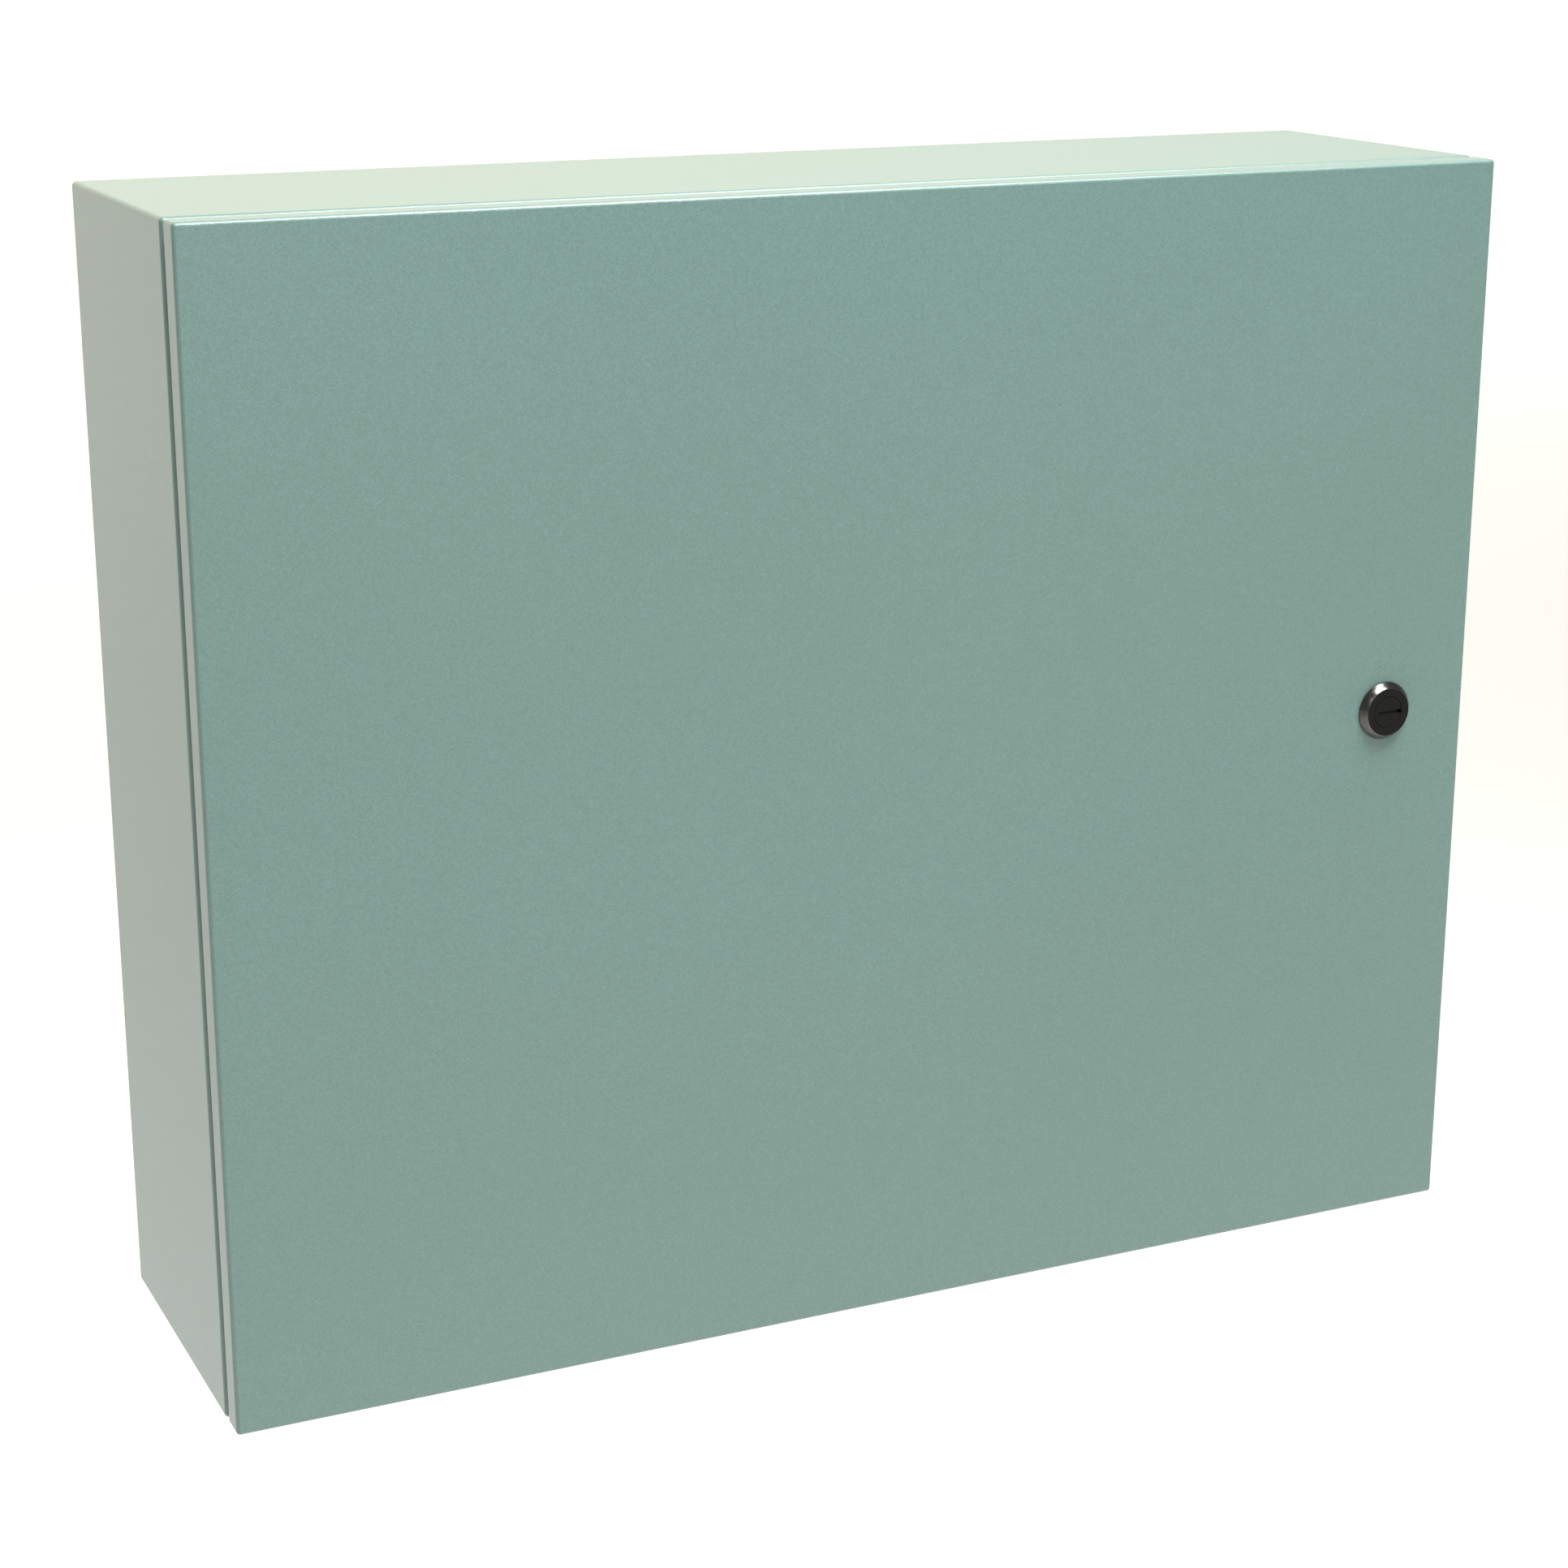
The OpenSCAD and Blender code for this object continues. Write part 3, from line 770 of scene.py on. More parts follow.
def open_box(bm: bmesh.types.BMesh, low: Point3, high: Point3, radius: float) -> list[bmesh.types.BMVert]:
    """Box with rounded edges and no front face.

    Args:
        bm: The mesh to build in.
        low: Its lowest corner.
        high: Its highest corner.
        radius: The radius of its edges.

    Returns:
        The corners of the open front, in order round it.
    """
    size = Vector(high) - Vector(low)
    middle = (Vector(high) + Vector(low)) / 2
    made = bmesh.ops.create_cube(bm, size=1.0)
    bmesh.ops.scale(bm, vec=size, verts=made["verts"])
    bmesh.ops.translate(bm, vec=middle, verts=made["verts"])
    bmesh.ops.bevel(bm, geom=bm.edges[:], offset=radius, offset_type="OFFSET", segments=5, profile=0.5,
                    affect="EDGES", clamp_overlap=True)
    bmesh.ops.recalc_face_normals(bm, faces=bm.faces[:])
    front = max(bm.faces, key=lambda face: -face.normal.y * face.calc_area())
    corners = list(front.verts)
    bmesh.ops.delete(bm, geom=[front], context="FACES_ONLY")
    return corners


def thicken(piece: bpy.types.Object, thickness: float) -> bpy.types.Object:
    """Gives a skin its sheet thickness, inwards.

    Args:
        piece: The piece.
        thickness: The sheet's thickness, in millimetres.

    Returns:
        The piece.
    """
    wall = piece.modifiers.new("wall", "SOLIDIFY")
    wall.thickness = thickness * MM
    wall.offset = -1.0
    wall.use_even_offset = True
    wall.use_quality_normals = True
    return settle(piece)


# ---------------------------------------------------------------------- geometry nodes


class NodeTree:
    """A Geometry Nodes tree under construction, which ends in Realize Instances and Set Material."""

    def __init__(self, name: str) -> None:
        """Starts the tree.

        Args:
            name: The tree's name.
        """
        self.tree = bpy.data.node_groups.new(name, "GeometryNodeTree")
        self.sockets: dict[str, bpy.types.NodeTreeInterfaceSocket] = {}
        self.tree.interface.new_socket("Geometry", in_out="OUTPUT", socket_type="NodeSocketGeometry")
        self.tree.interface.new_socket("Geometry", in_out="INPUT", socket_type="NodeSocketGeometry")
        self.entry = self.add("NodeGroupInput")
        self.exit = self.add("NodeGroupOutput")

    def add(self, kind: str) -> bpy.types.Node:
        """Adds a node."""
        return self.tree.nodes.new(kind)

    def join(self, source: bpy.types.NodeSocket, target: bpy.types.NodeSocket) -> None:
        """Links two sockets."""
        self.tree.links.new(source, target)

    def named(self, name: str, kind: str) -> bpy.types.NodeSocket:
        """Adds a named input and returns its socket inside the tree."""
        self.sockets[name] = self.tree.interface.new_socket(name, in_out="INPUT", socket_type=kind)
        return self.entry.outputs[name]

    def close(self, geometry: bpy.types.NodeSocket) -> None:
        """Ends the tree: realises the instances and sets the material.

        Args:
            geometry: The geometry so far.
        """
        finish = self.named("Finish", "NodeSocketMaterial")
        real = self.add("GeometryNodeRealizeInstances")
        painted = self.add("GeometryNodeSetMaterial")
        self.join(geometry, real.inputs["Geometry"])
        self.join(real.outputs["Geometry"], painted.inputs["Geometry"])
        self.join(finish, painted.inputs["Material"])
        self.join(painted.outputs["Geometry"], self.exit.inputs["Geometry"])

    def apply(self, piece: bpy.types.Object, **values: object) -> bpy.types.Object:
        """Runs the tree on a piece and keeps the result as its plain mesh.

        Args:
            piece: The object that carries the tree.
            values: Values by input name, with spaces written as underscores.

        Returns:
            The piece.
        """
        step = piece.modifiers.new(self.tree.name, "NODES")
        step.node_group = self.tree
        for key, value in values.items():
            step[self.sockets[key.replace("_", " ")].identifier] = value
        return settle(piece)


def fastener_tree() -> NodeTree:
    """Tree that sets one fastener on every point, each turned a little by a fixed seed.

    Returns:
        The tree.
    """
    tree = NodeTree("fasteners_on_points")
    pattern = tree.named("Pattern", "NodeSocketObject")
    axis = tree.named("Axis", "NodeSocketVector")
    spread = tree.named("Turn Spread", "NodeSocketFloat")
    seed = tree.named("Seed", "NodeSocketInt")
    source = tree.add("GeometryNodeObjectInfo")
    tree.join(pattern, source.inputs["Object"])
    turn = tree.add("FunctionNodeRandomValue")
    turn.data_type = "FLOAT"
    negative = tree.add("ShaderNodeMath")
    negative.operation = "MULTIPLY"
    negative.inputs[1].default_value = -1.0
    tree.join(spread, negative.inputs[0])
    tree.join(negative.outputs["Value"], turn.inputs[RANDOM_LOW])
    tree.join(spread, turn.inputs[RANDOM_HIGH])
    tree.join(seed, turn.inputs["Seed"])
    along = tree.add("ShaderNodeVectorMath")
    along.operation = "SCALE"
    tree.join(axis, along.inputs[0])
    tree.join(turn.outputs[RANDOM_RESULT], along.inputs["Scale"])
    rotation = tree.add("FunctionNodeEulerToRotation")
    tree.join(along.outputs["Vector"], rotation.inputs["Euler"])
    spots = tree.add("GeometryNodeInstanceOnPoints")
    tree.join(tree.entry.outputs["Geometry"], spots.inputs["Points"])
    tree.join(source.outputs["Geometry"], spots.inputs["Instance"])
    tree.join(rotation.outputs["Rotation"], spots.inputs["Rotation"])
    tree.close(spots.outputs["Instances"])
    return tree


def rail_tree() -> NodeTree:
    """Tree that repeats a pierced cell along Z between two end pieces and welds them together.

    Returns:
        The tree.
    """
    tree = NodeTree("pierced_rail")
    cell = tree.named("Cell", "NodeSocketObject")
    count = tree.named("Count", "NodeSocketInt")
    start = tree.named("Start", "NodeSocketVector")
    pitch = tree.named("Pitch", "NodeSocketVector")
    source = tree.add("GeometryNodeObjectInfo")
    tree.join(cell, source.inputs["Object"])
    line = tree.add("GeometryNodeMeshLine")
    line.mode = "OFFSET"
    tree.join(count, line.inputs["Count"])
    tree.join(start, line.inputs["Start Location"])
    tree.join(pitch, line.inputs["Offset"])
    spots = tree.add("GeometryNodeInstanceOnPoints")
    tree.join(line.outputs["Mesh"], spots.inputs["Points"])
    tree.join(source.outputs["Geometry"], spots.inputs["Instance"])
    solid = tree.add("GeometryNodeRealizeInstances")
    tree.join(spots.outputs["Instances"], solid.inputs["Geometry"])
    whole = tree.add("GeometryNodeJoinGeometry")
    tree.join(tree.entry.outputs["Geometry"], whole.inputs["Geometry"])
    tree.join(solid.outputs["Geometry"], whole.inputs["Geometry"])
    weld = tree.add("GeometryNodeMergeByDistance")
    weld.inputs["Distance"].default_value = 0.01 * MM
    tree.join(whole.outputs["Geometry"], weld.inputs["Geometry"])
    tree.close(weld.outputs["Geometry"])
    return tree


def bead_tree() -> NodeTree:
    """Tree that runs a bead's cross-section round a rectangle with rounded corners.

    Returns:
        The tree.
    """
    tree = NodeTree("gasket_bead")
    width = tree.named("Width", "NodeSocketFloat")
    height = tree.named("Height", "NodeSocketFloat")
    corner = tree.named("Corner", "NodeSocketFloat")
    section = tree.named("Section", "NodeSocketObject")
    path = tree.add("GeometryNodeCurvePrimitiveQuadrilateral")
    tree.join(width, path.inputs["Width"])
    tree.join(height, path.inputs["Height"])
    bend = tree.add("GeometryNodeFilletCurve")
    bend.mode = "POLY"
    bend.inputs["Count"].default_value = BEAD_CORNER_STEPS
    tree.join(path.outputs["Curve"], bend.inputs["Curve"])
    tree.join(corner, bend.inputs["Radius"])
    upright = tree.add("GeometryNodeSetCurveNormal")
    upright.mode = "Z_UP"
    tree.join(bend.outputs["Curve"], upright.inputs["Curve"])
    shape = tree.add("GeometryNodeObjectInfo")
    tree.join(section, shape.inputs["Object"])
    outline = tree.add("GeometryNodeMeshToCurve")
    tree.join(shape.outputs["Geometry"], outline.inputs["Mesh"])
    sweep = tree.add("GeometryNodeCurveToMesh")
    tree.join(upright.outputs["Curve"], sweep.inputs["Curve"])
    tree.join(outline.outputs["Curve"], sweep.inputs["Profile Curve"])
    tree.close(sweep.outputs["Mesh"])
    return tree


# --------------------------------------------------------------------------- workshop


class Workshop:
    """Shared finishes and node trees, and the last step of every piece."""

    def __init__(self) -> None:
        """Makes the finishes and the trees."""
        self.finishes = Finishes()
        self.fasteners = fastener_tree()
        self.rails = rail_tree()
        self.beads = bead_tree()
        self.count = 0

    def deliver(self, piece: bpy.types.Object, body: str, slot: str, *nodes: str) -> None:
        """Dresses a piece, puts it on its body and lets it stand for its nodes.

        Args:
            piece: The finished piece.
            body: The body that it rides on.
            slot: The slot of its finish.
            nodes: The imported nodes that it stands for.
        """
        self.finishes.dress(piece, slot)
        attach(piece, body)
        if nodes:
            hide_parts(*nodes)
        self.count += 1
        LOG.info("%s rides on %s, %d faces", piece.name, body, len(piece.data.polygons))

    def carry(self, node: str, slot: str) -> None:
        """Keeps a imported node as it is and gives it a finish."""
        self.finishes.dress_node(node, slot)
        LOG.info("%s is carried over", node)

    def set_out(self, name: str, node: str, body: str, pattern: bpy.types.Object,
                points: Sequence[Point3], facing: Facing, spread: float = 0.0, seed: int = 1) -> None:
        """Puts a copy of a zinc-plated fastener on each point and delivers them as one piece.

        Args:
            name: The name of the set.
            node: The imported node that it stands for.
            body: The body that it rides on.
            pattern: The fastener, made at the origin; it is deleted.
            points: Where the copies go, in millimetres.
            facing: Which way their axes point.
            spread: How far each may be turned, in degrees either way.
            seed: The seed of those turns.
        """
        mesh = bpy.data.meshes.new(name)
        mesh.from_pydata([tuple(v * MM for v in point) for point in points], [], [])
        piece = placed(name, mesh)
        finish = self.finishes.made["zinc_plate"]
        pattern.data.materials.append(finish)
        self.fasteners.apply(piece, Pattern=pattern, Axis=facing.axis(), Turn_Spread=math.radians(spread),
                             Seed=seed, Finish=finish)
        discard(pattern)
        self.deliver(piece, body, "zinc_plate", node)


# -------------------------------------------------------------------------- fasteners


@dataclass
class HexNut:
    """Hexagon nut with chamfered corners and a threaded bore."""

    across_flats: float
    bore: float
    height: float
    pitch: float = 1.0
    turn: float = 0.0
    chamfer_circle: float = 0.96
    chamfer_degrees: float = 28.0
    thread_depth: float = 0.35

    def section(self, angle: float) -> list[Point2]:
        """Closed section of the nut at an angle, from the bore round the outside.

        Args:
            angle: The angle, in radians.

        Returns:
            The points of the outline.
        """
        sector = (angle - math.radians(self.turn)) % (math.pi / 3) - math.pi / 6
        reach = self.across_flats / 2 / math.cos(sector)
        flat = self.across_flats / 2 * self.chamfer_circle
        drop = (reach - flat) * math.tan(math.radians(self.chamfer_degrees))
        crest, root = self.bore, self.bore + self.thread_depth
        turns = max(2, int(self.height / self.pitch))
        thread = []
        for i in range(turns):
            thread += [(root, self.height * (i + 0.25) / turns), (crest, self.height * (i + 0.75) / turns)]
        return [(root + 0.25, 0.0), (flat, 0.0), (reach, drop), (reach, self.height - drop),
                (flat, self.height), (root + 0.25, self.height), *reversed(thread)]

    def build(self, name: str, facing: Facing, at: Point3 = (0.0, 0.0, 0.0)) -> bpy.types.Object:
        """Makes the nut, standing on the point given."""
        return turned(name, self.section, at, facing, 72)


@dataclass
class Washer:
    """Flat washer with broken edges."""

    outside: float
    inside: float
    thickness: float

    def build(self, name: str, facing: Facing, at: Point3 = (0.0, 0.0, 0.0)) -> bpy.types.Object:
        """Makes the washer, lying on the point given.

        Args:
            name: The object's name.
            facing: Which way the axis points.
            at: The point that it stands on.

        Returns:
            The washer.
        """
        edge = min(0.25, self.thickness / 4)
        top = self.thickness
        profile = [(self.inside + edge, 0.0), (self.outside - edge, 0.0), (self.outside, edge),
                   (self.outside, top - edge), (self.outside - edge, top), (self.inside + edge, top),
                   (self.inside, top - edge), (self.inside, edge)]
        return turned(name, profile, at, facing)


@dataclass
class ThreadedStud:
    """Welded stud: an optional collar, then a thread with a chamfered end."""

    radius: float
    length: float
    pitch: float = 1.0
    collar: float = 0.0
    collar_length: float = 0.0

    def build(self, name: str, facing: Facing, at: Point3 = (0.0, 0.0, 0.0)) -> bpy.types.Object:
        """Makes the stud, standing on the point given.

        Args:
            name: The object's name.
            facing: Which way the axis points.
            at: The point that it stands on.

        Returns:
            The stud.
        """
        profile: list[Point2] = [(0.0, 0.0)]
        start = 0.0
        if self.collar:
            edge = 0.4
            profile += [(self.collar, 0.0), (self.collar, self.collar_length - edge),
                        (self.collar - edge, self.collar_length)]
            start = self.collar_length
        root = self.radius - 0.55 * self.pitch
        profile.append((self.radius, start))
        turns = int((self.length - start - self.pitch) / self.pitch)
        for i in range(turns):
            low = start + (i + 0.5) * self.pitch
            profile += [(self.radius, low), (root, low + self.pitch / 2)]
        profile += [(self.radius, self.length - self.pitch), (root, self.length), (0.0, self.length)]
        return turned(name, profile, at, facing, 32)


@dataclass
class PanHeadScrew:
    """Pan-head machine screw with a cross recess, its head at the start of its axis."""

    radius: float
    head_radius: float
    head_height: float
    length: float
    pitch: float = 0.7

    def build(self, name: str) -> bpy.types.Object:
        """Makes the screw along the facing of the door: the head towards the front.

        Args:
            name: The object's name.

        Returns:
            The screw.
        """
        rim, crown = self.head_radius, self.head_height
        profile: list[Point2] = [(0.0, crown)]
        for i in range(1, 7):
            angle = math.radians(90 - 15 * i)
            profile.append((rim * math.cos(angle), crown * (0.45 + 0.55 * math.sin(angle))))
        profile += [(rim, 0.2), (rim - 0.2, 0.0), (self.radius, 0.0)]
        root = self.radius - 0.5 * self.pitch
        turns = int((self.length - 1.0) / self.pitch)
        for i in range(turns):
            low = -(i + 0.5) * self.pitch
            profile += [(self.radius, low), (root, low - self.pitch / 2)]
        profile += [(root, -self.length), (0.0, -self.length)]
        screw = turned(name, profile, (0.0, 0.0, 0.0), Facing.FORWARD, 40)
        arm, slot = self.head_radius * 0.55, self.head_radius * 0.17
        depth = self.head_height * 0.62
        bars = [block("cutter", (-arm, -crown - 1, -slot), (arm, -crown + depth, slot)),
                block("cutter", (-slot, -crown - 1, -arm), (slot, -crown + depth, arm))]
        return cut(screw, bars)


def corners_of(extent: Extent, radius: float, y: float) -> list[Point3]:
    """Four points at the corners of a group of round fasteners.

    Args:
        extent: The box of the group.
        radius: The radius of one fastener.
        y: The plane of the points.

    Returns:
        The points.
    """
    return [(x, y, z) for x in (extent.low[0] + radius, extent.high[0] - radius)
            for z in (extent.low[2] + radius, extent.high[2] - radius)]


# ------------------------------------------------------------------------- assemblies


@dataclass
class CabinetShell:
    """Folded and welded body: back, sides, front flange and sealing lip."""

    sheet: float = 1.5
    bend: float = 2.0
    flange: float = 26.0
    lip: float = 10.0
    lip_corner: float = 6.5
    gland_rim: float = 18.0

    def build(self, shop: Workshop) -> None:
        """Makes the body and cuts its wall holes and its cable opening.

        Args:
            shop: The workshop that dresses and places the pieces.
        """
        extent = Extent.of("body_shell")
        flange_y = extent.low[1] + self.lip
        bm = bmesh.new()
        low = (extent.low[0], flange_y, extent.low[2])
        corners = open_box(bm, low, extent.high, self.bend)
        mouth = rounded_outline(extent.size[0] - 2 * self.flange, extent.size[2] - 2 * self.flange,
                                self.lip_corner)
        loops = [[bm.verts.new((x, y, z)) for x, z in mouth] for y in (flange_y, extent.low[1])]
        self.fill_flange(bm, corners, loops[0])
        bridge(bm, loops[0], loops[1])
        shell = thicken(to_object("cabinet_body", bm), self.sheet)
        cut(shell, self.cutters(extent))
        soften(shell, SHEET_EDGE)
        shop.deliver(shell, "cabinet", "painted_steel", "body_shell")

    def fill_flange(self, bm: bmesh.types.BMesh, corners: list[bmesh.types.BMVert],
                    mouth: list[bmesh.types.BMVert]) -> None:
        """Fills the flange between the folded edge and the mouth.

        Args:
            bm: The mesh.
            corners: The four corners of the folded edge.
            mouth: The loop round the mouth.
        """
        signs = [(1, 1), (-1, 1), (-1, -1), (1, -1)]
        ordered = [min(corners, key=lambda v: -(v.co.x * sx + v.co.z * sz)) for sx, sz in signs]
        arc = ARC_STEPS + 1
        for k, corner in enumerate(ordered):
            points = mouth[k * arc:(k + 1) * arc]
            for first, second in zip(points, points[1:]):
                bm.faces.new((corner, second, first))
            following = ordered[(k + 1) % 4]
            bm.faces.new((corner, following, mouth[((k + 1) * arc) % len(mouth)], points[-1]))

    def cutters(self, extent: Extent) -> list[bpy.types.Object]:
        """Cutters for the wall holes and for the cable opening in the bottom.

        Args:
            extent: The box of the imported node.

        Returns:
            The cutters.
        """
        holes = next(m for m in frame["record"]["mounts"] if m["name"] == "wall_holes")["dims"]
        x, z = holes["spacing_x_mm"] / 2, holes["spacing_y_mm"] / 2
        tools = [hole_cutter(holes["hole_r_mm"], (sx * x, 0.0, sz * z), Facing.FORWARD, self.sheet)
                 for sx in (-1, 1) for sz in (-1, 1)]
        gasket = Extent.of("gland_gasket")
        rim = 2 * self.gland_rim
        outline = rounded_outline(gasket.size[0] - rim, gasket.size[1] - rim, 2.0)
        opening = prism("cutter", outline, 2.0, -2.0)
        opening.data.transform(Matrix.Rotation(-math.pi / 2, 4, "X"))
        opening.data.transform(Matrix.Translation(
            Vector((0.0, gasket.middle[1], extent.low[2] + self.sheet / 2)) * MM))
        return tools + [opening]


@dataclass
class DoorPanel:
    """Door folded from one sheet, with welded corners and a hole for the latch."""

    sheet: float = 1.5
    bend: float = 1.8
    latch_hole: float = 10.15

    def build(self, shop: Workshop) -> None:
        """Makes the door skin with its folded edges.

        Args:
            shop: The workshop that dresses and places the pieces.
        """
        extent = Extent.of("door_panel")
        bm = bmesh.new()
        turned_low = (extent.low[0], -extent.high[1] - self.bend, extent.low[2])
        turned_high = (extent.high[0], -extent.low[1], extent.high[2])
        corners = open_box(bm, turned_low, turned_high, self.bend)
        bmesh.ops.delete(bm, geom=corners, context="VERTS")
        bmesh.ops.bisect_plane(bm, geom=bm.verts[:] + bm.edges[:] + bm.faces[:],
                               plane_co=(0.0, -extent.high[1], 0.0), plane_no=(0.0, -1.0, 0.0),
                               clear_outer=True)
        bmesh.ops.transform(bm, matrix=Matrix.Rotation(math.pi, 4, "Z"), verts=bm.verts[:])
        door = thicken(to_object("door_leaf", bm), self.sheet)
        latch = Extent.of("latch_housing").middle
        cut(door, [hole_cutter(self.latch_hole, (latch[0], extent.low[1] + self.sheet, latch[2]),
                               Facing.FORWARD, self.sheet, 0.2)])
        soften(door, SHEET_EDGE)
        shop.deliver(door, "door", "painted_steel", "door_panel")


@dataclass
class PanelSet:
    """Mounting panel on its collar studs, with washers and nuts."""

    corner: float = 4.0
    stud: float = 4.0
    clearance: float = 0.4

    def build(self, shop: Workshop) -> None:
        """Makes the panel and sets out its fasteners.

        Args:
            shop: The workshop that dresses and places the pieces.
        """
        extent = Extent.of("mounting_panel")
        studs = Extent.of("panel_studs")
        washers = Extent.of("panel_washers")
        nuts = Extent.of("panel_nuts")
        panel = prism("mounting_plate", rounded_outline(extent.size[0], extent.size[2], self.corner),
                      extent.high[1], extent.low[1])
        places = corners_of(studs, 2 * self.stud, extent.high[1])
        cut(panel, [hole_cutter(self.stud + self.clearance, place, Facing.FORWARD, extent.size[1])
                    for place in places])
        shop.deliver(soften(panel, PLATE_EDGE), "cabinet", "galvanised_steel", "mounting_panel")

        collar_length = studs.high[1] - extent.high[1]
        flats = nuts.size[2] - (studs.size[2] - 4 * self.stud)
        sets = (
            ("panel_collar_studs", "panel_studs", studs, 0.0, 1,
             ThreadedStud(self.stud, studs.size[1], M8_PITCH, 2 * self.stud, collar_length)),
            ("panel_flat_washers", "panel_washers", washers, 0.0, 1,
             Washer(2 * self.stud, self.stud + WASHER_PLAY, washers.size[1])),
            ("panel_hex_nuts", "panel_nuts", nuts, 28.0, 4,
             HexNut(flats, self.stud + NUT_PLAY, nuts.size[1], M8_PITCH)),
        )
        for name, node, box, spread, seed, spec in sets:
            shop.set_out(name, node, "cabinet", spec.build("pattern", Facing.FORWARD),
                         corners_of(studs, 2 * self.stud, box.high[1]), Facing.FORWARD, spread, seed)


@dataclass
class GlandSet:
    """Gland plate over the cable opening, with its gasket, studs and nuts."""

    stud: float = 2.5
    clearance: float = 0.4
    nut_flats: float = 8.0

    def build(self, shop: Workshop) -> None:
        """Makes the plate and sets out its fasteners; the gasket is carried over.

        Args:
            shop: The workshop that dresses and places the pieces.
        """
        plate = Extent.of("gland_plate")
        studs = Extent.of("gland_studs")
        nuts = Extent.of("gland_nuts")
        outline = rounded_outline(plate.size[0], plate.size[1], 3.0)
        body = prism("cable_gland_plate", outline, plate.size[2] / 2, -plate.size[2] / 2)
        body.data.transform(Matrix.Rotation(-math.pi / 2, 4, "X"))
        body.data.transform(Matrix.Translation(Vector(plate.middle) * MM))
        xs = (studs.low[0] + self.stud, studs.middle[0], studs.high[0] - self.stud)
        ys = (studs.low[1] + self.stud, studs.high[1] - self.stud)
        spots = [(x, y) for x in xs for y in ys]
        cut(body, [hole_cutter(self.stud + self.clearance, (x, y, plate.low[2]), Facing.UP, plate.size[2])
                   for x, y in spots])
        shop.deliver(soften(body, PLATE_EDGE), "cabinet", "galvanised_steel", "gland_plate")
        stud = ThreadedStud(self.stud, studs.size[2], M5_PITCH)
        shop.set_out("gland_plate_studs", "gland_studs", "cabinet", stud.build("pattern", Facing.UP),
                     [(x, y, studs.low[2]) for x, y in spots], Facing.UP)
        nut = HexNut(self.nut_flats, self.stud + NUT_PLAY, nuts.size[2], M5_PITCH)
        shop.set_out("gland_plate_nuts", "gland_nuts", "cabinet", nut.build("pattern", Facing.UP),
                     [(x, y, nuts.low[2]) for x, y in spots], Facing.UP, 25.0, 9)
        shop.carry("gland_gasket", "foam_rubber")


@dataclass
class EarthPoint:
    """Earthing stud with a washer and a nut."""

    prefix: str
    body: str
    facing: Facing
    stud: float = 4.0
    nut_flats: float = 13.0

    def build(self, shop: Workshop) -> None:
        """Makes the three pieces of the earthing point.

        Args:
            shop: The workshop that dresses and places the pieces.
        """
        axis = 2 if self.facing is Facing.UP else 1
        stud = Extent.of(f"{self.prefix}_earth_stud")
        washer = Extent.of(f"{self.prefix}_earth_washer")
        nut = Extent.of(f"{self.prefix}_earth_nut")
        pieces = (
            ("stud", stud, ThreadedStud(self.stud, stud.size[axis], M8_PITCH)),
            ("washer", washer, Washer(2 * self.stud, self.stud + WASHER_PLAY, washer.size[axis])),
            ("nut", nut, HexNut(self.nut_flats, self.stud + NUT_PLAY, nut.size[axis], M8_PITCH, 12.0)),
        )
        for kind, extent, spec in pieces:
            at = list(extent.middle)
            at[axis] = extent.low[2] if self.facing is Facing.UP else extent.high[1]
            piece = spec.build(f"{self.prefix}_earthing_{kind}", self.facing, tuple(at))
            shop.deliver(piece, self.body, "zinc_plate", f"{self.prefix}_earth_{kind}")


@dataclass
class DoorGasket:
    """Foamed gasket bead on the inside of the door, flat on the sheet and domed on top."""

    corner: float = 5.75
    bead: float = 10.0

    def build(self, shop: Workshop) -> None:
        """Runs the bead's section round the door.

        Args:
            shop: The workshop that dresses and places the pieces.
        """
        extent = Extent.of("door_gasket")
        depth = extent.size[1]
        points = [(self.bead / 2 * math.cos(a), depth * (0.25 + 0.75 * math.sin(a)))
                  for a in (math.radians(15 * i) for i in range(13))]
        outline = [(self.bead / 2, 0.0), *points, (-self.bead / 2, 0.0)]
        mesh = bpy.data.meshes.new("section")
        ends = [(i, (i + 1) % len(outline)) for i in range(len(outline))]
        mesh.from_pydata([(x * MM, y * MM, 0.0) for x, y in outline], ends, [])
        section = placed("section", mesh)
        carrier = placed("door_gasket_bead", bpy.data.meshes.new("bead"))
        bead = shop.beads.apply(carrier, Width=(extent.size[0] - self.bead) * MM,
                                Height=(extent.size[2] - self.bead) * MM, Corner=self.corner * MM,
                                Section=section, Finish=shop.finishes.made["foam_rubber"])
        discard(section)
        self.stand_up(bead, extent)
        shop.deliver(bead, "door", "foam_rubber", "door_gasket")

    def stand_up(self, bead: bpy.types.Object, extent: Extent) -> None:
        """Turns the flat bead upright with its dome to the cabinet, and sets it on the door.

        Args:
            bead: The flat bead.
            extent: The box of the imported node.
        """
        bm = bmesh.new()
        bm.from_mesh(bead.data)
        heights = [v.co.z for v in bm.verts]
        if max(heights) < -min(heights):
            bmesh.ops.scale(bm, vec=(1.0, 1.0, -1.0), verts=bm.verts[:])
        turn = Matrix.Translation((0.0, extent.low[1] * MM, 0.0)) @ Matrix.Rotation(-math.pi / 2, 4, "X")
        bmesh.ops.transform(bm, matrix=turn, verts=bm.verts[:])
        bmesh.ops.remove_doubles(bm, verts=bm.verts[:], dist=0.002 * MM)
        bmesh.ops.recalc_face_normals(bm, faces=bm.faces[:])
        bm.to_mesh(bead.data)
        bm.free()
        bead.data.shade_smooth()
        bead.data.set_sharp_from_angle(angle=math.radians(50))


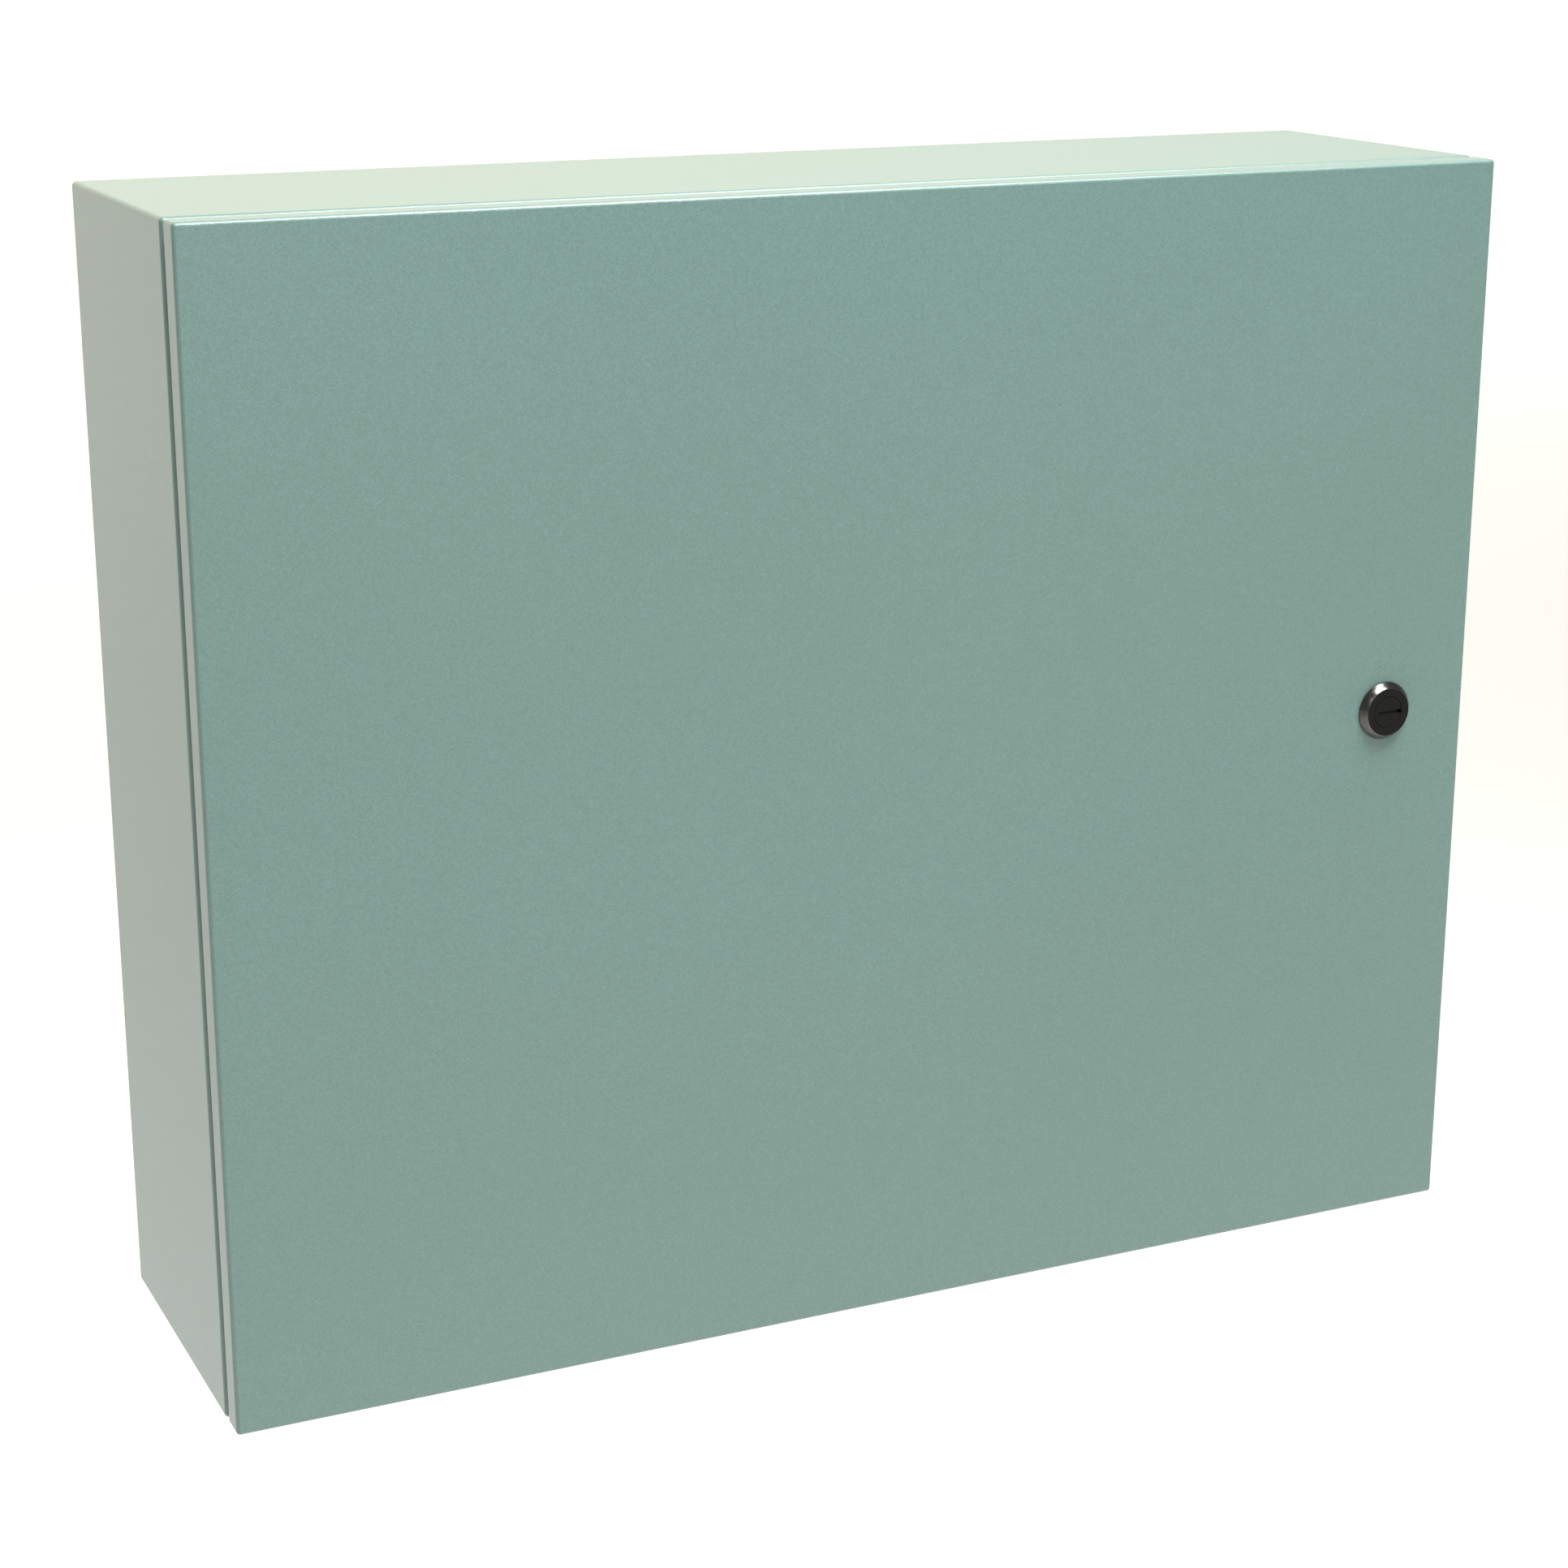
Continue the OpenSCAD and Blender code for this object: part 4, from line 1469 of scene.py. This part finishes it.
@dataclass
class DoorRail:
    """Stiffener rail: a pierced channel whose legs stand on the door."""

    side: str
    sheet: float = 1.5
    bend: float = 2.2
    pitch: float = 25.0
    hole: float = 3.0

    def section(self, width: float, depth: float) -> list[Point2]:
        """Outline of the channel in X and depth, from one foot round to the other.

        Args:
            width: The channel's width.
            depth: The channel's depth.

        Returns:
            The points of the outline.
        """
        half, inner = width / 2, self.bend - self.sheet

        def path(x: float, top: float, radius: float) -> list[Point2]:
            """One side of the sheet, from foot to foot.

            Args:
                x: Half of the width.
                top: The height of the crown.
                radius: The bend's radius.

            Returns:
                The points of the path.
            """
            steps = [math.radians(15 * i) for i in range(7)]
            right = [(x - radius + radius * math.cos(a), top - radius + radius * math.sin(a)) for a in steps]
            return [(x, 0.0), *right, *[(-px, py) for px, py in reversed(right)], (-x, 0.0)]

        outside = path(half, depth, self.bend)
        inside = path(half - self.sheet, depth - self.sheet, inner)
        return outside + list(reversed(inside))

    def length_of_channel(self, name: str, extent: Extent, low: float, high: float,
                          pierced: bool, open_ends: tuple[bool, bool]) -> bpy.types.Object:
        """One length of the channel.

        Args:
            name: The object's name.
            extent: The box of the whole rail.
            low: Where it starts along Z.
            high: Where it ends.
            pierced: Whether it has a hole in its middle.
            open_ends: Whether its lower and upper end faces are left out, so that it can be joined.

        Returns:
            The length of channel.
        """
        bm = bmesh.new()
        outline = self.section(extent.size[0], extent.size[1])
        loops = [[bm.verts.new((extent.middle[0] + x, extent.low[1] + y, z)) for x, y in outline]
                 for z in (low, high)]
        bm.faces.new(loops[0])
        bm.faces.new(reversed(loops[1]))
        bridge(bm, loops[0], loops[1])
        piece = to_object(name, bm)
        if pierced:
            at = (extent.middle[0], extent.high[1], (low + high) / 2)
            cut(piece, [hole_cutter(self.hole, at, Facing.FORWARD, self.sheet, 0.25)])
        mesh = bmesh.new()
        mesh.from_mesh(piece.data)
        ends = [f for f in mesh.faces
                if (open_ends[0] and f.normal.z < -0.99 and abs(f.calc_center_median().z - low * MM) < 1e-6)
                or (open_ends[1] and f.normal.z > 0.99 and abs(f.calc_center_median().z - high * MM) < 1e-6)]
        bmesh.ops.delete(mesh, geom=ends, context="FACES_ONLY")
        mesh.to_mesh(piece.data)
        mesh.free()
        return piece

    def build(self, shop: Workshop) -> None:
        """Makes the rail from two ends and a row of pierced cells.

        Args:
            shop: The workshop that dresses and places the pieces.
        """
        node = f"{self.side}_door_rail"
        extent = Extent.of(node)
        half = extent.size[2] / 2
        steps = math.floor((half - 2 * self.hole) / self.pitch)
        reach = (steps + 0.5) * self.pitch
        cell = self.length_of_channel("cell", extent, -self.pitch / 2, self.pitch / 2, True, (True, True))
        rail = self.length_of_channel(f"{self.side}_pierced_rail", extent, -half, -reach, False,
                                      (False, True))
        other = self.length_of_channel("end", extent, reach, half, False, (True, False))
        bm = bmesh.new()
        bm.from_mesh(rail.data)
        bm.from_mesh(other.data)
        bm.to_mesh(rail.data)
        bm.free()
        discard(other)
        shop.rails.apply(rail, Cell=cell, Count=2 * steps + 1, Start=(0.0, 0.0, -steps * self.pitch * MM),
                         Pitch=(0.0, 0.0, self.pitch * MM), Finish=shop.finishes.made["galvanised_steel"])
        discard(cell)
        rail.data.shade_smooth()
        rail.data.set_sharp_from_angle(angle=math.radians(32))
        shop.deliver(rail, "door", "galvanised_steel", node)


@dataclass
class HingeSet:
    """Two concealed hinges: leaves, screws, studs and nuts, and the lift-out pins."""

    screw: float = 2.0
    screw_head: float = 3.5
    nut_flats: float = 7.0
    head_height: float = 2.6
    edge: float = 0.35

    def build(self, shop: Workshop) -> None:
        """Makes both hinges and their pins.

        Args:
            shop: The workshop that dresses and places the pieces.
        """
        for level in ("upper", "lower"):
            for side, body in (("body", "cabinet"), ("door", "door")):
                node = f"{level}_hinge_{side}_leaf"
                leaf = softened_node(f"{level}_{side}_leaf", node, self.edge)
                shop.deliver(leaf, body, "zinc_plate", node)
            self.pin(shop, level)
        self.fasten(shop)

    def pin(self, shop: Workshop, level: str) -> None:
        """Makes one hinge pin, with a domed head and a chamfered tail.

        Args:
            shop: The workshop that dresses and places the pieces.
            level: Which hinge: upper or lower.
        """
        node = f"{level}_hinge_pin"
        extent = Extent.of(node)
        head, shaft, tall = extent.size[0] / 2, self.screw, extent.size[2]
        head_height = 1.5
        neck = tall - head_height
        profile = [(0.0, 0.0), (shaft - 0.7, 0.0), (shaft, 0.8), (shaft, neck), (head - 0.15, neck),
                   (head, neck + 0.2), (head, neck + 0.7), (head - 0.4, tall - 0.25), (head - 1.2, tall),
                   (0.0, tall)]
        at = (extent.middle[0], extent.middle[1], extent.low[2])
        shop.deliver(turned(f"{level}_lift_out_pin", profile, at, Facing.UP, 40), f"{level}_pin",
                     "bright_steel", node)

    def fasten(self, shop: Workshop) -> None:
        """Sets out the screws, studs and nuts of both hinges.

        Args:
            shop: The workshop that dresses and places the pieces.
        """
        leaf = Extent.of("upper_hinge_body_leaf").middle[2]
        screws = Extent.of("hinge_screws")
        spots = self.levels(screws, self.screw_head, leaf)
        head_y = screws.low[1] + self.head_height
        screw = PanHeadScrew(self.screw, self.screw_head, self.head_height, screws.high[1] - head_y)
        shop.set_out("hinge_pan_screws", "hinge_screws", "cabinet", screw.build("pattern"),
                     [(x, head_y, z) for x, z in spots], Facing.FORWARD, 40.0, 3)
        nuts = Extent.of("hinge_screw_nuts")
        nut = HexNut(self.nut_flats, self.screw + NUT_PLAY, nuts.size[1], M4_PITCH)
        shop.set_out("hinge_screw_hex_nuts", "hinge_screw_nuts", "cabinet",
                     nut.build("pattern", Facing.FORWARD),
                     [(x, nuts.high[1], z) for x, z in spots], Facing.FORWARD, 25.0, 5)
        studs = Extent.of("hinge_door_studs")
        spots = self.levels(studs, self.screw, leaf)
        stud = ThreadedStud(self.screw, studs.size[1], M4_PITCH)
        shop.set_out("hinge_door_weld_studs", "hinge_door_studs", "door",
                     stud.build("pattern", Facing.FORWARD),
                     [(x, studs.high[1], z) for x, z in spots], Facing.FORWARD)
        nuts = Extent.of("hinge_door_nuts")
        shop.set_out("hinge_door_hex_nuts", "hinge_door_nuts", "door",
                     nut.build("pattern", Facing.FORWARD),
                     [(x, nuts.high[1], z) for x, z in spots], Facing.FORWARD, 25.0, 6)

    def levels(self, extent: Extent, radius: float, hinge: float) -> list[Point2]:
        """Places of a hinge's fasteners in X and Z, two at each hinge.

        Args:
            extent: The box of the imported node.
            radius: The radius of one fastener.
            hinge: The height of the upper hinge's middle.

        Returns:
            The places, in X and Z.
        """
        away = extent.high[2] - radius - hinge
        x = extent.middle[0]
        return [(x, level * hinge + end * away) for level in (-1, 1) for end in (-1, 1)]


@dataclass
class Latch:
    """Quarter-turn latch: bezel and barrel, black face, turning insert, nut and cam."""

    barrel: float = 10.0
    shaft: float = 5.0
    face: float = 11.0
    pocket: float = 7.5
    thread_pitch: float = 1.5
    nut_flats: float = 24.0
    insert_head: float = 2.8
    slot_start: float = 5.2
    slot_width: float = 1.2
    slot_depth: float = 0.5
    notch_width: float = 2.0
    notch_length: float = 2.7
    notch_depth: float = 1.6

    def build(self, shop: Workshop) -> None:
        """Makes all the pieces of the latch.

        Args:
            shop: The workshop that dresses and places the pieces.
        """
        self.housing(shop)
        self.face_ring(shop)
        self.insert(shop)
        nut_box = Extent.of("latch_nut")
        at = (nut_box.middle[0], nut_box.high[1], nut_box.middle[2])
        nut = HexNut(self.nut_flats, self.barrel + NUT_PLAY, nut_box.size[1], self.thread_pitch, 30.0)
        shop.deliver(nut.build("latch_ring_nut", Facing.FORWARD, at), "door", "zinc_plate", "latch_nut")
        shop.carry("latch_seal", "foam_rubber")
        cam = softened_node("latch_cam_plate", "latch_cam", 0.45)
        shop.deliver(cam, "latch", "zinc_plate", "latch_cam")
        washer_box = Extent.of("latch_cam_washer")
        at = (washer_box.middle[0], washer_box.high[1], washer_box.middle[2])
        washer = Washer(washer_box.size[0] / 2, 2.7, washer_box.size[1])
        shop.deliver(washer.build("cam_washer", Facing.FORWARD, at), "latch", "zinc_plate",
                     "latch_cam_washer")
        bolt = softened_node("cam_bolt", "latch_cam_bolt", 0.3)
        shop.deliver(bolt, "latch", "zinc_plate", "latch_cam_bolt")

    def housing(self, shop: Workshop) -> None:
        """Turns the bezel and the threaded barrel in one piece.

        Args:
            shop: The workshop that dresses and places the pieces.
        """
        extent = Extent.of("latch_housing")
        door = Extent.of("door_panel").low[1]
        rear, top, rim = door - extent.high[1], door - extent.low[1], extent.size[0] / 2
        seat, chamfer, thread_depth, thread_end = 0.5, 0.6, 0.7, -2.0
        bore = self.shaft + NUT_PLAY
        profile: list[Point2] = [(bore, rear), (self.barrel - chamfer, rear), (self.barrel, rear + chamfer)]
        turns = int((thread_end - rear - 2 * chamfer) / self.thread_pitch)
        for i in range(turns):
            low = rear + 1.0 + i * self.thread_pitch
            profile += [(self.barrel, low), (self.barrel - thread_depth, low + self.thread_pitch / 2)]
        profile += [(self.barrel, thread_end), (self.barrel, seat), (rim - 0.25, seat),
                    (rim - 0.05, seat + 0.1), (rim, seat + 0.3), (rim - 0.08, seat + 0.5),
                    (self.face + 0.34, top - 0.12), (self.face + 0.18, top), (self.face + 0.05, top),
                    (self.face, top - 0.1), (self.face, top - 1.0), (self.pocket, top - 1.0),
                    (self.pocket, top - 3.0), (bore, top - 3.0)]
        at = (extent.middle[0], door, extent.middle[2])
        housing = turned("latch_bezel_and_barrel", profile, at, Facing.FORWARD, FINE_ROUND_STEPS)
        shop.deliver(housing, "door", "dark_chrome", "latch_housing")

    def face_ring(self, shop: Workshop) -> None:
        """Turns the black ring that fills the bezel.

        Args:
            shop: The workshop that dresses and places the pieces.
        """
        extent = Extent.of("latch_face_ring")
        outside, inside, thick = extent.size[0] / 2, self.pocket, extent.size[1]
        profile = [(inside, 0.0), (outside, 0.0), (outside, thick - 0.25), (outside - 0.2, thick - 0.05),
                   (inside + 0.10, thick - 0.05), (inside, thick - 0.15)]
        at = (extent.middle[0], extent.high[1], extent.middle[2])
        ring = turned("latch_face", profile, at, Facing.FORWARD, FINE_ROUND_STEPS)
        shop.deliver(ring, "door", "black_plastic", "latch_face_ring")

    def insert(self, shop: Workshop) -> None:
        """Turns the insert, and cuts its slot and its index notch.

        Args:
            shop: The workshop that dresses and places the pieces.
        """
        extent = Extent.of("latch_rotor")
        cam = Extent.of("latch_cam")
        x, z = extent.middle[0], extent.middle[2]
        radius = extent.size[0] / 2
        tail = cam.low[1] - extent.low[1]
        total = extent.size[1]
        head = self.insert_head
        profile = [(0.0, 0.0), (radius - 0.15, 0.0), (radius, -0.15), (radius, -head + 0.2),
                   (radius - 0.2, -head), (self.shaft, -head), (self.shaft, -tail), (0.0, -tail)]
        piece = turned("latch_turning_insert", profile, (x, extent.low[1], z), Facing.FORWARD,
                       FINE_ROUND_STEPS)
        half = 0.7 * self.shaft
        square = block("square", (x - half, cam.low[1] - 0.5, z - half),
                       (x + half, extent.low[1] + total, z + half))
        join = piece.modifiers.new("join", "BOOLEAN")
        join.operation = "UNION"
        join.solver = "EXACT"
        join.object = square
        settle(piece)
        discard(square)
        front = extent.low[1]
        slot = block("cutter", (x - self.slot_start, front - 1.0, z - self.slot_width / 2),
                     (x + radius - self.notch_length + 0.2, front + self.slot_depth, z + self.slot_width / 2))
        notch = block("cutter", (x + radius - self.notch_length, front - 1.0, z - self.notch_width / 2),
                      (x + radius + 1.0, front + self.notch_depth, z + self.notch_width / 2))
        cut(piece, [slot, notch])
        soften(piece, 0.12, 60.0)
        shop.deliver(piece, "latch", "black_plastic", "latch_rotor")


# ----------------------------------------------------------------------------- studio


@dataclass
class Studio:
    """Pale floor, soft light and the camera."""

    camera_at: Point3 = (-0.58611, -1.33365, 0.38228)
    camera_towards: Point3 = (0.40050, 0.87118, -0.28398)
    lens: float = 72.43
    sensor: float = 36.0
    lights_aim: Point3 = (0.0, -0.08, 0.0)
    floor_drop: float = 0.62
    floor_size: float = 60.0
    floor_tones: Point2 = (0.93, 0.95)
    glow: Colour = (1.0, 0.98, 0.92)
    glow_reach: Point2 = (0.0, 5.5)
    glow_level: Point2 = (0.14, 0.70)
    front: Colour = (1.0, 0.965, 0.90)
    front_level: float = 0.30
    surround: Colour = (1.0, 0.93, 0.77)
    back_level: float = 1.38
    back_towards: Point3 = (-0.12, 0.993, 0.0)
    back_spread: Point2 = (0.2, 1.0)

    def build(self) -> None:
        """Makes the camera, the floor, the lights and the world."""
        self.camera()
        self.floor()
        self.lights()
        self.world()

    def camera(self) -> None:
        """Adds the camera."""
        data = bpy.data.cameras.new("camera")
        data.lens = self.lens
        data.sensor_width = self.sensor
        data.clip_end = 200.0
        camera = placed("camera", data)
        camera.location = self.camera_at
        camera.rotation_euler = Vector(self.camera_towards).to_track_quat("-Z", "Y").to_euler()
        bpy.context.scene.camera = camera

    def floor(self) -> None:
        """Adds the floor below the object, which glows more the further it lies behind it."""
        base = Extent.of("body_shell").low[2] * MM - self.floor_drop
        half = self.floor_size / 2
        mesh = bpy.data.meshes.new("floor")
        mesh.from_pydata([(-half, -half, base), (half, -half, base), (half, half, base), (-half, half, base)],
                         [], [(0, 1, 2, 3)])
        floor = placed("floor", mesh)
        sheet = ShaderSheet("pale_floor")
        sheet.colour(sheet.mixed(sheet.noise(3.0), *((tone, tone, tone) for tone in self.floor_tones)))
        split = sheet.add("ShaderNodeSeparateXYZ")
        sheet.join(sheet.place, split.inputs["Vector"])
        glow = sheet.ranged(split.outputs["Y"], self.glow_reach, self.glow_level)
        sheet.join(glow, sheet.shader.inputs["Emission Strength"])
        sheet.fixed(Roughness=0.9, Specular_IOR_Level=0.0)
        sheet.shader.inputs["Emission Color"].default_value = (*self.glow, 1.0)
        mesh.materials.append(sheet.material)

    def lights(self) -> None:
        """Adds the soft boxes."""
        self.soft_box("fill", (-0.50, -1.30, 0.75), (0.9, 0.9), 3.5)
        self.soft_box("key", (0.50, -1.10, 2.05), (1.4, 0.5), 47.5)
        self.soft_box("strip", (0.45, -0.50, 2.00), (1.8, 0.5), 50.0)

    def soft_box(self, name: str, at: Point3, size: Point2, power: float) -> None:
        """Adds an area light that faces the object.

        Args:
            name: The light's name.
            at: Where it stands, in metres.
            size: Its width and its height, in metres.
            power: Its power, in watts.
        """
        data = bpy.data.lights.new(name, "AREA")
        data.shape = "RECTANGLE"
        data.size, data.size_y = size
        data.energy = power
        light = placed(name, data)
        light.location = at
        light.rotation_euler = (Vector(self.lights_aim) - Vector(at)).to_track_quat("-Z", "Y").to_euler()

    def world(self) -> None:
        """Adds a pale surround that is brightest behind the object and a little to its left."""
        world = bpy.data.worlds.new("surround")
        bpy.context.scene.world = world
        world.use_nodes = True
        nodes, links = world.node_tree.nodes, world.node_tree.links
        nodes.clear()
        place = nodes.new("ShaderNodeTexCoord")
        towards = nodes.new("ShaderNodeVectorMath")
        towards.operation = "DOT_PRODUCT"
        towards.inputs[1].default_value = self.back_towards
        ramp = nodes.new("ShaderNodeMapRange")
        ramp.interpolation_type = "SMOOTHSTEP"
        ramp.inputs["From Min"].default_value, ramp.inputs["From Max"].default_value = self.back_spread
        blend = nodes.new("ShaderNodeMix")
        blend.data_type = "RGBA"
        blend.inputs[MIX_FIRST].default_value = (*shade(self.front, self.front_level), 1.0)
        blend.inputs[MIX_SECOND].default_value = (*shade(self.surround, self.back_level), 1.0)
        light = nodes.new("ShaderNodeBackground")
        output = nodes.new("ShaderNodeOutputWorld")
        links.new(place.outputs["Generated"], towards.inputs[0])
        links.new(towards.outputs["Value"], ramp.inputs["Value"])
        links.new(ramp.outputs["Result"], blend.inputs["Factor"])
        links.new(blend.outputs[MIX_RESULT], light.inputs["Color"])
        links.new(light.outputs["Background"], output.inputs["Surface"])
        bpy.context.scene.view_settings.view_transform = "Standard"


def main() -> None:
    """Builds the studio and every assembly, and reports the pieces."""
    logging.basicConfig(level=logging.INFO, format="%(name)s: %(message)s")
    Studio().build()
    shop = Workshop()
    assemblies = (
        CabinetShell(), DoorPanel(), PanelSet(), GlandSet(), EarthPoint("body", "cabinet", Facing.UP),
        EarthPoint("door", "door", Facing.FORWARD), DoorGasket(), DoorRail("left"), DoorRail("right"),
        HingeSet(), Latch(),
    )
    for assembly in assemblies:
        assembly.build(shop)
    LOG.info("%d pieces", shop.count)


if __name__ == "__main__":
    main()
